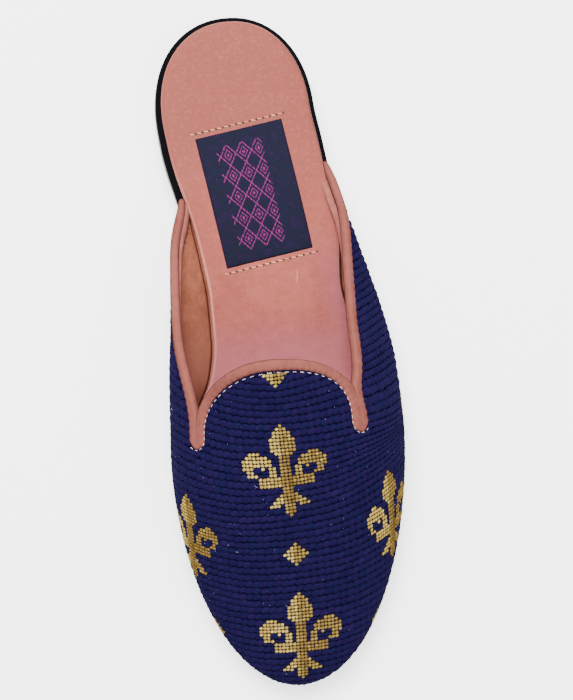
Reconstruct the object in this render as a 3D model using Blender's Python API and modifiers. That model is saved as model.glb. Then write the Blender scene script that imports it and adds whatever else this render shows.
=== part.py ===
"""A low-heeled slip-on mule for the left foot, at its real size in metres.

The toe points along -Y, the outer side of the foot lies towards +X and +Z is up. While the shoe is
drawn, lengths run from the back of the heel to the toe ("along"), widths run from the shoe's long
axis towards the outer side ("across") and heights are above the floor. The tables hold shares of
the driving dimensions: along of LENGTH, across of BALL_WIDTH and height of THROAT_HEIGHT.

The last is a row of sections. Each section has a lower half, from the feather line where the upper
meets the sole out to the widest point, and an upper half, from there over to the ridge. On its
surface a place is given as on a flat pattern: its length along, and its distance round the section
from the ridge ("girth"), which is negative on the inner side of the foot.
"""

import math

import bmesh
import bpy
import numpy as np
from mathutils import Vector
from mathutils.geometry import delaunay_2d_cdt

# Driving dimensions
LENGTH = 0.2645
BALL_WIDTH = 0.0915
THROAT_HEIGHT = 0.0675
HEEL_HEIGHT = 0.012
TOE_SPRING = 0.007

# Thicknesses and clearances
SOLE_THICKNESS = 0.004
INSOLE_THICKNESS = 0.0045
WALL = 0.0024
TOP_PIECE_THICKNESS = 0.004
GAP = 0.0003

# Places along the shoe, from the back of the heel
HEEL_BREAST = 0.235 * LENGTH
BREAST_HOLLOW = 0.010 * LENGTH
TREAD_BACK = 0.567 * LENGTH
TREAD_FRONT = 0.737 * LENGTH

# How the outlines close at the back of the heel and at the toe
HEEL_MIDDLE = -0.028 * BALL_WIDTH
HEEL_ROUND = 0.136 * LENGTH
HEEL_POWER = 2.15
TOE_MIDDLE = 0.048 * BALL_WIDTH
TOE_TIP_HEIGHT = 0.237 * THROAT_HEIGHT
TOE_CAP = 0.085 * LENGTH
TOE_REACH = {"inner": 0.340 * LENGTH, "outer": 0.397 * LENGTH}
TOE_UNDERCUT = 0.0025
RIDGE_TURN = 0.133 * LENGTH

# How the lower half of a section leaves the feather line and meets the widest point
FOOT_HANDLE = 0.35
SWELL_HANDLE = 0.45

# How far each piece stands in from the edge of the outsole
FEATHER_INSET = 0.0008
INSOLE_INSET_HEEL = 0.0022
INSOLE_INSET_FORE = 0.0039
INSOLE_ROUNDING = 0.0016
INSOLE_CORNER = 0.3
INSET_CHANGE = 0.15 * LENGTH
INSET_CHANGE_REACH = 0.12 * LENGTH
HEEL_INSET = 0.0004
HEEL_TAPER = 0.0010
SOLE_CHAMFER = 0.0005

# The tab over the instep, and the notch on each side of it
TAB_BACK = 0.5212 * LENGTH
TAB_MIDDLE = -0.011 * BALL_WIDTH
TAB_POWER = {"inner": 2.2, "outer": 2.6}
NOTCH_ALONG = {"inner": 0.6175 * LENGTH, "outer": 0.613 * LENGTH}
NOTCH_ACROSS = {"inner": -0.325 * BALL_WIDTH, "outer": 0.360 * BALL_WIDTH}
NOTCH_RADIUS = 0.00195

# The binding, a rolled strip of leather round the top edge
BINDING_WIDTH = 0.0033
BINDING_WIDTH_NOTCH = 0.0035
BINDING_THICKNESS = 0.0035
NOTCH_LEG = 0.009
BINDING_TIP = 0.014
BINDING_TIP_SHARE = 0.45
EDGE_GAP = 0.0007

# The part's own frame starts under the middle of its box
MIDDLE_ALONG = LENGTH / 2
MIDDLE_ACROSS = 0.074 * BALL_WIDTH

# How finely the pieces are divided
SOLE_STATIONS = 48
INSOLE_STATIONS = 44
HEEL_STATIONS = 14
BREAST_STEPS = 5
SECTION_STEPS = 16
UPPER_STEP = 0.0052
TOE_STEP = 0.0034
TOE_ROWS_FROM = 0.86 * LENGTH
BINDING_STEP = 0.0040
NOTCH_STEP = 0.0011
BINDING_SIDES = 8
BINDING_CORNER = 0.94
TOE_TURN = 0.11 * LENGTH
WING_TIP_WALL = 0.0026
END_TRIM = 0.00002
WELD = 0.000001
PROBE = 0.0005
EDGE_TRIES = 3
TINY = 0.000001
BORDER_SHARE = 0.6

# Colour and roughness of each piece
COLLECTION = "needlepoint_mule"
FINISHES = {
    "outsole": ((0.012, 0.011, 0.013), 0.25),
    "heel_lifts": ((0.012, 0.011, 0.013), 0.30),
    "heel_top_piece": ((0.020, 0.020, 0.020), 0.70),
    "insole": ((0.560, 0.240, 0.170), 0.55),
    "binding": ((0.500, 0.210, 0.130), 0.50),
    "upper": ((0.012, 0.012, 0.090), 0.90),
}

OUTSOLE_COLUMNS = ("along", "inner", "outer")
OUTSOLE_ROWS = (
    (0.000, -0.369, 0.295),
    (0.136, -0.369, 0.314),
    (0.189, -0.354, 0.337),
    (0.265, -0.312, 0.368),
    (0.359, -0.265, 0.410),
    (0.416, -0.245, 0.447),
    (0.480, -0.242, 0.490),
    (0.529, -0.264, 0.520),
    (0.575, -0.325, 0.541),
    (0.624, -0.374, 0.553),
    (0.673, -0.404, 0.555),
    (0.718, -0.408, 0.555),
    (1.000, -0.408, 0.555),
)

# swell: the widest point of a section. rise and crown: how full the wall is above its widest
# point and beside the ridge, where 0.55 makes a quarter ellipse and 0 a straight slope.
LAST_COLUMNS = (
    "along",
    "swell_inner",
    "swell_outer",
    "swell_height_inner",
    "swell_height_outer",
    "ridge_across",
    "ridge_height",
    "rise_inner",
    "rise_outer",
    "crown_inner",
    "crown_outer",
)
LAST_ROWS = (
    (0.200, -0.270, 0.345, 0.36, 0.33, -0.045, 0.98, 0.50, 0.20, 0.45, 0.00),
    (0.284, -0.326, 0.391, 0.37, 0.33, -0.045, 1.02, 0.50, 0.20, 0.45, 0.00),
    (0.329, -0.353, 0.426, 0.41, 0.32, -0.044, 1.04, 0.50, 0.15, 0.45, 0.00),
    (0.378, -0.366, 0.467, 0.45, 0.30, -0.036, 1.05, 0.48, 0.15, 0.45, 0.00),
    (0.454, -0.385, 0.526, 0.46, 0.28, -0.022, 1.04, 0.45, 0.18, 0.42, 0.05),
    (0.529, -0.408, 0.565, 0.41, 0.27, -0.009, 0.975, 0.43, 0.26, 0.38, 0.21),
    (0.605, -0.422, 0.576, 0.35, 0.26, 0.012, 0.835, 0.48, 0.40, 0.45, 0.46),
    (0.669, -0.430, 0.578, 0.31, 0.25, 0.025, 0.755, 0.55, 0.50, 0.52, 0.53),
    (0.794, -0.430, 0.578, 0.28, 0.24, 0.048, 0.570, 0.55, 0.53, 0.54, 0.54),
    (0.919, -0.430, 0.578, 0.25, 0.237, 0.052, 0.410, 0.55, 0.55, 0.55, 0.55),
    (1.000, -0.430, 0.578, 0.237, 0.237, 0.048, 0.360, 0.55, 0.55, 0.55, 0.55),
)

# The line that the middle of the binding follows along the sides, behind the notches
TOPLINE_COLUMNS = ("height", "inner", "outer")
TOPLINE_ROWS = (
    (0.254, 0.266, 0.226),
    (0.286, 0.288, 0.254),
    (0.335, 0.318, 0.294),
    (0.400, 0.350, 0.337),
    (0.470, 0.398, 0.390),
    (0.555, 0.465, 0.460),
    (0.620, 0.530, 0.530),
)


def smooth_value(columns, rows, name, place):
    """Read a column at a place between its rows, on a curve that adds no bumps of its own."""
    places = [row[0] for row in rows]
    values = [row[columns.index(name)] for row in rows]
    place = min(max(place, places[0]), places[-1])
    slopes = [(values[i + 1] - values[i]) / (places[i + 1] - places[i]) for i in range(len(rows) - 1)]
    tangents = [slopes[0]]
    for before, after in zip(slopes, slopes[1:]):
        if before * after > 0:
            tangents.append(2 * before * after / (before + after))
        else:
            tangents.append(0.0)
    tangents.append(slopes[-1])
    start = max(i for i in range(len(rows) - 1) if places[i] <= place)
    step = places[start + 1] - places[start]
    t = (place - places[start]) / step
    ease = t * t * (3 - 2 * t)
    leave = t * (1 - t) * (1 - t) * step * tangents[start]
    arrive = t * t * (t - 1) * step * tangents[start + 1]
    return values[start] * (1 - ease) + values[start + 1] * ease + leave + arrive


def rounded(distance, reach, power=2.0):
    """Rise from 0 at an end to 1 at its reach, as the edge of an ellipse does."""
    left = 1 - min(1.0, max(0.0, distance / reach))
    return (1 - left**power) ** (1 / power)


def eased(share):
    """Go from 0 to 1, level at both ends."""
    share = min(1.0, max(0.0, share))
    return share * share * (3 - 2 * share)


def tread_height(along):
    """Height of the outsole's underside: the heel seat, the arch, the flat tread and the toe spring."""
    if along < TREAD_BACK:
        return HEEL_HEIGHT * eased((TREAD_BACK - along) / (TREAD_BACK - HEEL_BREAST))
    if along > TREAD_FRONT:
        return TOE_SPRING * ((along - TREAD_FRONT) / (LENGTH - TREAD_FRONT)) ** 2
    return 0.0


def seat_height(along):
    """Height of the outsole's upper face."""
    return tread_height(along) + SOLE_THICKNESS


def sole_edge(side, along, inset=0.0):
    """How far across the outsole reaches at a place along it, closed round the heel and the toe."""
    front = LENGTH - TOE_UNDERCUT - inset
    full = smooth_value(OUTSOLE_COLUMNS, OUTSOLE_ROWS, side, along / LENGTH) * BALL_WIDTH
    full += inset if side == "inner" else -inset
    toe = rounded(front - along, TOE_REACH[side] - TOE_UNDERCUT - inset)
    heel = rounded(along - inset, HEEL_ROUND - inset, HEEL_POWER)
    forward = TOE_MIDDLE + (full - TOE_MIDDLE) * toe
    return HEEL_MIDDLE + (forward - HEEL_MIDDLE) * heel


def last_value(name, along):
    """Read a column of the last, as a share."""
    return smooth_value(LAST_COLUMNS, LAST_ROWS, name, along / LENGTH)


def bezier(start, leave, arrive, end, steps):
    """Points of a cubic curve, as rows of coordinates."""
    t = np.linspace(0, 1, steps + 1)[:, None]
    points = np.array([start, leave, arrive, end])
    weights = ((1 - t) ** 3, 3 * t * (1 - t) ** 2, 3 * t * t * (1 - t), t**3)
    return sum(weight * point for weight, point in zip(weights, points))


def last_section(side, station):
    """One side of the last at a station: points (along, across, height) from ridge to feather line."""
    toe = rounded(LENGTH - station, TOE_REACH[side])
    cap = rounded(LENGTH - station, TOE_CAP)
    turned_in = max(0.0, 1 - (LENGTH - station) / TOE_REACH[side])
    seat = station - (TOE_UNDERCUT + FEATHER_INSET) * turned_in
    feather = np.array((seat, sole_edge(side, seat, FEATHER_INSET), seat_height(seat) + GAP))
    swell_full = last_value("swell_" + side, station) * BALL_WIDTH
    swell_high = last_value("swell_height_" + side, station) * THROAT_HEIGHT
    ridge_high = last_value("ridge_height", station) * THROAT_HEIGHT
    middle = last_value("ridge_across", station) * BALL_WIDTH
    across = TOE_MIDDLE + (swell_full - TOE_MIDDLE) * toe
    swell = np.array((station, across, TOE_TIP_HEIGHT + (swell_high - TOE_TIP_HEIGHT) * cap))
    ridge = np.array((station, middle, TOE_TIP_HEIGHT + (ridge_high - TOE_TIP_HEIGHT) * cap))
    ridge[1] = TOE_MIDDLE + (middle - TOE_MIDDLE) * eased((LENGTH - station) / RIDGE_TURN)
    rise = last_value("rise_" + side, station)
    crown = last_value("crown_" + side, station)
    over = bezier(
        ridge,
        ridge + crown * np.array((0, swell[1] - ridge[1], 0)),
        swell + rise * np.array((0, 0, ridge[2] - swell[2])),
        swell,
        SECTION_STEPS,
    )
    under = bezier(
        swell,
        swell - SWELL_HANDLE * np.array((0, 0, swell[2] - feather[2])),
        feather + FOOT_HANDLE * (swell - feather),
        feather,
        SECTION_STEPS // 2,
    )
    return np.vstack((over, under[1:]))


def girths(section):
    """Distance round a section from the ridge, for each of its points."""
    steps = np.linalg.norm(np.diff(section, axis=0), axis=1)
    return np.concatenate(([0.0], np.cumsum(steps)))


def side_of(girth):
    """The side of the foot that a girth lies on."""
    return "inner" if girth < 0 else "outer"


def on_last(along, girth):
    """The point of the last at a place on the pattern."""
    section = last_section(side_of(girth), along)
    lengths = girths(section)
    return np.array([np.interp(abs(girth), lengths, section[:, axis]) for axis in range(3)])


def feather_girth(side, along):
    """Girth of the feather line."""
    sign = -1 if side == "inner" else 1
    return sign * girths(last_section(side, along))[-1]


def girth_at_across(side, along, across):
    """Girth of the point over a place on the plan, above the widest point."""
    section = last_section(side, along)[: SECTION_STEPS + 1]
    sign = -1 if side == "inner" else 1
    return sign * np.interp(sign * across, sign * section[:, 1], girths(section))


def girth_at_height(side, along, height):
    """Girth of the point at a height on the side wall."""
    section = last_section(side, along)
    sign = -1 if side == "inner" else 1
    return sign * np.interp(-height, -section[:, 2], girths(section))


def outward(along, girth):
    """Unit normal of the last at a place on the pattern."""
    ahead = on_last(along + PROBE, girth) - on_last(along - PROBE, girth)
    round_it = on_last(along, girth + PROBE) - on_last(along, girth - PROBE)
    normal = np.cross(ahead, round_it)
    return normal / np.linalg.norm(normal)


def evenly(points, step):
    """Space points evenly along a line through the given ones."""
    points = np.array(points)
    lengths = girths(points)
    count = max(1, round(lengths[-1] / step))
    wanted = np.linspace(0, lengths[-1], count + 1)
    return np.array([[np.interp(w, lengths, points[:, axis]) for axis in range(2)] for w in wanted])


def curve_through(points, steps=8):
    """A smooth line through points on the pattern."""
    points = [np.array(point) for point in points]
    ends = [2 * points[0] - points[1]] + points + [2 * points[-1] - points[-2]]
    line = []
    for before, start, end, after in zip(ends, ends[1:], ends[2:], ends[3:]):
        reach = np.linalg.norm(end - start) / 3
        leave = (end - before) / np.linalg.norm(end - before) * reach
        arrive = (after - start) / np.linalg.norm(after - start) * reach
        line.extend(bezier(start, start + leave, end - arrive, end, steps)[:-1])
    line.append(points[-1])
    return line


def wing_line(side):
    """The topline behind a notch, from the sole up to the notch, on the pattern."""
    sign = -1 if side == "inner" else 1
    points = []
    for height, *places in TOPLINE_ROWS:
        along = dict(zip(TOPLINE_COLUMNS[1:], places))[side] * LENGTH
        points.append((along, girth_at_height(side, along, height * THROAT_HEIGHT)))
    notch = NOTCH_ALONG[side]
    middle = girth_at_across(side, notch, NOTCH_ACROSS[side])
    for back in (NOTCH_LEG, 0.0):
        points.append((notch - back, middle + sign * NOTCH_RADIUS))
    return curve_through(points)


def notch_line(side):
    """The turn at the foot of a notch, from the wing to the tab, on the pattern."""
    sign = -1 if side == "inner" else 1
    notch = NOTCH_ALONG[side]
    middle = girth_at_across(side, notch, NOTCH_ACROSS[side])
    turns = np.linspace(0, math.pi, 9)
    return [
        (notch + NOTCH_RADIUS * math.sin(turn), middle + sign * NOTCH_RADIUS * math.cos(turn))
        for turn in turns
    ]


def tab_line(side):
    """Half of the tab's edge, from the foot of a notch to the middle of the tab, on the pattern."""
    sign = -1 if side == "inner" else 1
    notch = NOTCH_ALONG[side]
    middle = girth_at_across(side, notch, NOTCH_ACROSS[side])
    leg = on_last(notch, middle - sign * NOTCH_RADIUS)[1]
    power = TAB_POWER[side]
    points = []
    for turn in np.linspace(0, math.pi / 2, 25):
        across = TAB_MIDDLE + (leg - TAB_MIDDLE) * math.cos(turn) ** (2 / power)
        along = notch - (notch - TAB_BACK) * math.sin(turn) ** (2 / power)
        points.append((along, girth_at_across(side, along, across)))
    points[-1] = (TAB_BACK, 0.0)
    return points


def topline():
    """The line that the middle of the binding follows, from the inner side to the outer side."""
    line = []
    for side in ("inner", "outer"):
        half = wing_line(side) + notch_line(side)[1:] + tab_line(side)[1:]
        line += half if side == "inner" else half[::-1][1:]
    return evenly(line, NOTCH_STEP / 2)


def notch_distance(place):
    """How far a place on the pattern is from the nearer notch."""
    reaches = []
    for side in ("inner", "outer"):
        along = NOTCH_ALONG[side]
        girth = girth_at_across(side, along, NOTCH_ACROSS[side])
        reaches.append(math.hypot(place[0] - along, place[1] - girth))
    return min(reaches)


def binding_stations():
    """Places, directions and widths down the binding's line, closer together round the notches."""
    line = topline()
    lengths = girths(line)
    stations = []
    last = -BINDING_STEP
    for place, length in zip(line, lengths):
        away = notch_distance(place)
        step = NOTCH_STEP if away < NOTCH_LEG else BINDING_STEP
        end = length > lengths[-1] - TINY
        if length - last < step - TINY and not end:
            continue
        last = length
        after, before = (
            np.array([np.interp(length + ahead, lengths, line[:, axis]) for axis in (0, 1)])
            for ahead in (NOTCH_STEP / 2, -NOTCH_STEP / 2)
        )
        direction = (after - before) / np.linalg.norm(after - before)
        width = BINDING_WIDTH_NOTCH
        width += (BINDING_WIDTH - BINDING_WIDTH_NOTCH) * eased((away - NOTCH_LEG) / NOTCH_LEG)
        tip = min(length, lengths[-1] - length) / BINDING_TIP
        size = BINDING_TIP_SHARE + (1 - BINDING_TIP_SHARE) * rounded(tip, 1.0)
        stations.append((place, direction, width * size, BINDING_THICKNESS * size))
    return stations


def line_frame(place, direction):
    """The last's point at a place on a line, with unit vectors outwards and to the line's right."""
    normal = outward(*place)
    ahead = on_last(*(place + PROBE * direction)) - on_last(*(place - PROBE * direction))
    right = np.cross(ahead, normal)
    return on_last(*place), normal, right / np.linalg.norm(right)


def beside(place, direction, distance):
    """The place on the pattern that lies a distance to a line's right, measured on the last."""
    right = line_frame(place, direction)[2]
    step = PROBE * np.array((direction[1], -direction[0]))
    moved = on_last(*(place + step)) - on_last(*(place - step))
    return place + step * 2 * distance / np.dot(moved, right)


def wall_edge(place, direction, width):
    """Where the upper stops beside the binding, so that both faces of its wall clear the binding."""
    middle, normal, right = line_frame(place, direction)
    clear = width / 2 + EDGE_GAP
    reach = clear
    for attempt in range(EDGE_TRIES):
        edge = beside(place, direction, reach)
        inner = on_last(*edge) - WALL * outward(*edge)
        reach += max(0.0, clear - np.dot(inner - middle, right))
    return beside(place, direction, reach)


def binding_rings():
    """Sections of the binding, square to its line and centred in the wall of the upper."""
    rings = []
    for place, direction, width, thickness in binding_stations():
        middle, normal, side = line_frame(place, direction)
        middle = middle - normal * WALL / 2
        ring = []
        for i in range(BINDING_SIDES):
            turn = 2 * math.pi * (i + 0.5) / BINDING_SIDES
            reach = 1 / max(abs(math.cos(turn)), abs(math.sin(turn)), BINDING_CORNER)
            ring.append(
                middle
                + side * math.cos(turn) * reach * width / 2
                + normal * math.sin(turn) * reach * thickness / 2
            )
        rings.append(ring)
    return rings


def station_at(reach):
    """Turn a length on the stretched pattern into a station: it is stretched over the toe."""
    start = LENGTH - TOE_TURN
    if reach <= start:
        return reach
    return start + TOE_TURN * math.sin(min((reach - start) / TOE_TURN, math.pi / 2))


def pattern_rows(start, end):
    """Lengths on the stretched pattern from start to end, closer together at the toe."""
    rows = [start]
    while rows[-1] < end:
        rows.append(rows[-1] + (UPPER_STEP if rows[-1] < TOE_ROWS_FROM else TOE_STEP))
    return [start + (row - start) * (end - start) / (rows[-1] - start) for row in rows]


def upper_outline():
    """The upper on the stretched pattern: its top edge, then the feather line round the toe."""
    top = []
    for place, direction, width, thickness in binding_stations():
        edge = beside(place, direction, width / 2 + EDGE_GAP)
        wall = abs(feather_girth(side_of(edge[1]), edge[0])) - abs(edge[1])
        if wall > WING_TIP_WALL:
            top.append(tuple(wall_edge(place, direction, width)))
    end = LENGTH + TOE_TURN * (math.pi / 2 - 1)
    feather = {}
    for side, start in (("outer", top[-1][0]), ("inner", top[0][0])):
        feather[side] = [
            (reach, feather_girth(side, station_at(reach))) for reach in pattern_rows(start, end)
        ]
    seam = feather_girth("outer", LENGTH)
    across_toe = [(end, girth) for girth in (seam / 2, 0.0, -seam / 2)]
    return top + feather["outer"] + across_toe + feather["inner"][::-1]


def inside(outline, place):
    """Whether a place is inside an outline."""
    crossings = 0
    for (x0, y0), (x1, y1) in zip(outline, outline[1:] + outline[:1]):
        if (y0 > place[1]) != (y1 > place[1]):
            crossings += place[0] < x0 + (place[1] - y0) * (x1 - x0) / (y1 - y0)
    return crossings % 2 == 1


def upper_mesh():
    """The outer face of the upper, from the flat pattern laid over the last."""
    outline = upper_outline()
    border = np.array(outline)
    points = list(outline)
    rows = pattern_rows(border[:, 0].min(), border[:, 0].max())
    for row, reach in enumerate(rows):
        step = UPPER_STEP if reach < TOE_ROWS_FROM else TOE_STEP
        columns = math.ceil(np.abs(border[:, 1]).max() / step)
        stagger = 0.5 * ((len(rows) - row + 1) % 2)
        for column in range(-columns, columns + 1):
            place = (reach, (column + stagger) * step)
            near = np.hypot(border[:, 0] - place[0], border[:, 1] - place[1]).min()
            if near > BORDER_SHARE * step and inside(outline, place):
                points.append(place)
    flat = [Vector((reach * 1000, girth * 1000)) for reach, girth in points]
    result = delaunay_2d_cdt(flat, [], [list(range(len(outline)))], 1, 1e-5)
    places, faces = result[0], result[2]
    mesh = bmesh.new()
    verts = [mesh.verts.new(world(on_last(station_at(place.x / 1000), place.y / 1000))) for place in places]
    for face in faces:
        mesh.faces.new([verts[i] for i in face])
    bmesh.ops.remove_doubles(mesh, verts=mesh.verts, dist=WELD)
    return mesh


def world(point):
    """Turn (along, across, height) into the part's own frame."""
    return Vector((point[1] - MIDDLE_ACROSS, MIDDLE_ALONG - point[0], point[2]))


def loft(rings):
    """A closed body through rings of points."""
    mesh = bmesh.new()
    loops = [[mesh.verts.new(world(point)) for point in ring] for ring in rings]
    for near, far in zip(loops, loops[1:]):
        for i in range(len(near)):
            j = (i + 1) % len(near)
            mesh.faces.new((near[i], near[j], far[j], far[i]))
    mesh.faces.new(loops[0][::-1])
    mesh.faces.new(loops[-1])
    bmesh.ops.recalc_face_normals(mesh, faces=mesh.faces)
    return mesh


def crowded(start, end, count):
    """Places between two ends, closer together near both."""
    turns = np.linspace(0, math.pi, count + 1)
    return [start + (end - start) * (1 - math.cos(turn)) / 2 for turn in turns]


def outsole_mesh():
    """The outsole: one thickness throughout, bent to its arch and toe spring, with broken edges."""
    rings = []
    for along in crowded(END_TRIM, LENGTH - TOE_UNDERCUT - END_TRIM, SOLE_STATIONS):
        inner = sole_edge("inner", along)
        outer = sole_edge("outer", along)
        low = tread_height(along)
        high = seat_height(along)
        cut = SOLE_CHAMFER
        left = [(inner + cut, low), (inner, low + cut), (inner, high - cut), (inner + cut, high)]
        right = [(outer - cut, high), (outer, high - cut), (outer, low + cut), (outer - cut, low)]
        rings.append([(along, across, height) for across, height in left + right])
    return loft(rings)


def insole_edge(side, along):
    """How far across the insole reaches."""
    fore = eased((along - INSET_CHANGE) / INSET_CHANGE_REACH)
    return sole_edge(side, along, INSOLE_INSET_HEEL + (INSOLE_INSET_FORE - INSOLE_INSET_HEEL) * fore)


def insole_mesh():
    """The padded insole, lying on the outsole, with its upper edge rounded over."""
    rings = []
    front = LENGTH - TOE_UNDERCUT - INSOLE_INSET_FORE
    for along in crowded(INSOLE_INSET_HEEL + END_TRIM, front - END_TRIM, INSOLE_STATIONS):
        inner = insole_edge("inner", along)
        outer = insole_edge("outer", along)
        low = seat_height(along) + GAP
        high = low + INSOLE_THICKNESS
        soft = min(INSOLE_ROUNDING, INSOLE_CORNER * (outer - inner))
        corner = INSOLE_CORNER * soft
        left = [(inner, low), (inner, high - soft), (inner + corner, high - corner), (inner + soft, high)]
        right = [(outer - soft, high), (outer - corner, high - corner), (outer, high - soft), (outer, low)]
        rings.append([(along, across, height) for across, height in left + right])
    return loft(rings)


def heel_outline(inset, height):
    """The D-shaped outline of the heel at a height, with a slightly hollow breast."""
    back = inset + END_TRIM
    turns = np.linspace(0, math.pi / 2, HEEL_STATIONS + 1)
    places = [back + (HEEL_BREAST - back) * (1 - math.cos(turn)) for turn in turns]
    inner = [(along, sole_edge("inner", along, inset), height) for along in places]
    outer = [(along, sole_edge("outer", along, inset), height) for along in places]
    breast = []
    for share in np.linspace(0, 1, BREAST_STEPS + 1)[1:-1]:
        across = outer[-1][1] + (inner[-1][1] - outer[-1][1]) * share
        hollow = BREAST_HOLLOW * 4 * share * (1 - share)
        breast.append((HEEL_BREAST - hollow, across, height))
    return inner[::-1] + outer + breast


def heel_slice(low, high):
    """A slice of the heel, which tapers a little towards the floor."""
    rings = []
    for height in (low, high):
        inset = HEEL_INSET + HEEL_TAPER * (1 - height / HEEL_HEIGHT)
        rings.append(heel_outline(inset, height))
    return loft(rings)


def finish(piece, mesh, smooth_angle=40):
    """Make a mesh into a named object with its own material."""
    color, roughness = FINISHES[piece]
    data = bpy.data.meshes.new(piece)
    mesh.to_mesh(data)
    mesh.free()
    data.shade_smooth()
    data.set_sharp_from_angle(angle=math.radians(smooth_angle))
    material = bpy.data.materials.new(piece)
    material.use_nodes = True
    shader = material.node_tree.nodes["Principled BSDF"]
    shader.inputs["Base Color"].default_value = (*color, 1)
    shader.inputs["Roughness"].default_value = roughness
    shader.inputs["Metallic"].default_value = 0.0
    data.materials.append(material)
    thing = bpy.data.objects.new(piece, data)
    bpy.data.collections[COLLECTION].objects.link(thing)
    return thing


def build():
    """Make every piece of the mule."""
    for thing in list(bpy.data.objects):
        bpy.data.objects.remove(thing)
    bpy.context.scene.collection.children.link(bpy.data.collections.new(COLLECTION))
    finish("outsole", outsole_mesh())
    finish("heel_lifts", heel_slice(TOP_PIECE_THICKNESS + GAP, HEEL_HEIGHT - GAP))
    finish("heel_top_piece", heel_slice(0.0, TOP_PIECE_THICKNESS))
    finish("insole", insole_mesh())
    finish("binding", loft(binding_rings()), smooth_angle=70)
    upper = finish("upper", upper_mesh())
    wall = upper.modifiers.new("wall", "SOLIDIFY")
    wall.thickness = WALL
    wall.offset = -1
    wall.use_even_offset = True


build()
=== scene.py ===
"""A low-heeled slip-on mule for the left foot: needlepoint wool, tan leather and waxed thread.

The toe points along -Y, the outer side of the foot lies towards +X and +Z is up. The pattern is
drawn with "along" from the back of the heel to the toe, "across" from the long axis towards the
outer side and "height" up from the floor. On the last a place has a reach, its length along,
stretched over the toe, and a share, how far it lies round the section: 0 on the ridge, -1 and 1 on
the feather lines.
"""
import itertools
import math

import bpy
import numpy as np
from mathutils import Matrix, Vector

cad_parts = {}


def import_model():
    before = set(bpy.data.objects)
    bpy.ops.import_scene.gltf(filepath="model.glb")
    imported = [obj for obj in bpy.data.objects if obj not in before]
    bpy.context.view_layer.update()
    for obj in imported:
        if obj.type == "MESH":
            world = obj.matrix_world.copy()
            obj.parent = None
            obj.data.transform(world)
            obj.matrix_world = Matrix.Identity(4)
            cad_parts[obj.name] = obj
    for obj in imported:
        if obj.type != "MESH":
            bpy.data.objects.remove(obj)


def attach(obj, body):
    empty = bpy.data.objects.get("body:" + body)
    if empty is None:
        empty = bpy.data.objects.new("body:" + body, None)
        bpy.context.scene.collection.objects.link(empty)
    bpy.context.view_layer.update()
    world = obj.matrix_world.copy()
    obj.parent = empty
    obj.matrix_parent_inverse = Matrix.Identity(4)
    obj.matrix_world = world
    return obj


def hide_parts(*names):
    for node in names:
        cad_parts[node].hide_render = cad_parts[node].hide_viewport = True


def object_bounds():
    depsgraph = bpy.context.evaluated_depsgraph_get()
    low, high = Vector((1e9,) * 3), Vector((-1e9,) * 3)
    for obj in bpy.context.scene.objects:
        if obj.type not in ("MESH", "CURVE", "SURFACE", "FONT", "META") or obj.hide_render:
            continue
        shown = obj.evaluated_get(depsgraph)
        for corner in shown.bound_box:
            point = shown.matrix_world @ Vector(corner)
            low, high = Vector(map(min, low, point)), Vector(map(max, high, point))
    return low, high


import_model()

BOX = [list(corner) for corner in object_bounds()]
MM = 0.001

# Driving dimensions
LENGTH = BOX[1][1] - BOX[0][1]
BALL_WIDTH = 91.5 * MM
THROAT_HEIGHT = 67.5 * MM
HEEL_HEIGHT = 12 * MM
TOE_SPRING = 7 * MM
SOLE_THICKNESS = 4 * MM
INSOLE_THICKNESS = 4.5 * MM
WALL = 2.4 * MM
TOP_PIECE_THICKNESS = 4 * MM
GAP = 0.3 * MM
WELD = 0.01 * MM
MIDDLE_ALONG = LENGTH / 2
MIDDLE_ACROSS = 0.074 * BALL_WIDTH

# Places along the shoe, and how its outlines close at the heel and the toe
HEEL_BREAST = 0.235 * LENGTH
BREAST_HOLLOW = 0.010 * LENGTH
TREAD_BACK = 0.567 * LENGTH
TREAD_FRONT = 0.737 * LENGTH
HEEL_MIDDLE = -0.028 * BALL_WIDTH
HEEL_ROUND = 0.136 * LENGTH
HEEL_POWER = 2.15
TOE_MIDDLE = 0.048 * BALL_WIDTH
TOE_TIP_HEIGHT = 0.237 * THROAT_HEIGHT
TOE_CAP = 0.085 * LENGTH
TOE_REACH = {"inner": 0.340 * LENGTH, "outer": 0.397 * LENGTH}
TOE_UNDERCUT = 2.5 * MM
TOE_TURN = 0.11 * LENGTH
RIDGE_TURN = 0.133 * LENGTH
FOOT_HANDLE = 0.35
SWELL_HANDLE = 0.45
FEATHER_INSET = 0.8 * MM
INSOLE_INSET_HEEL = 2.2 * MM
INSOLE_INSET_FORE = {"inner": 3.6 * MM, "outer": 7.1 * MM}
INSET_CHANGE = {"inner": 0.22 * LENGTH, "outer": 0.328 * LENGTH}
INSET_CHANGE_REACH = 0.10 * LENGTH
HEEL_INSET = 0.4 * MM
HEEL_TAPER = 1.0 * MM
SOLE_CORNER = 0.55 * MM
SOLE_SWELL = 1.0 * MM
# Where the inner edge's swell starts and where it is full, from the back and from the front
SWELL_BACK = (0.07 * LENGTH, 0.22 * LENGTH)
SWELL_FRONT = (0.31 * LENGTH, 0.22 * LENGTH)
# The sole's upper face is dull black this far from the back and bare beyond; a face counts as an
# upper or lower one from this height of its normal
BLACK_SEAT = 76 * MM
FACE_TURN = 0.8
INSOLE_FLARE = 0.9 * MM
INSOLE_SOFTNESS = 1.6 * MM

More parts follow.
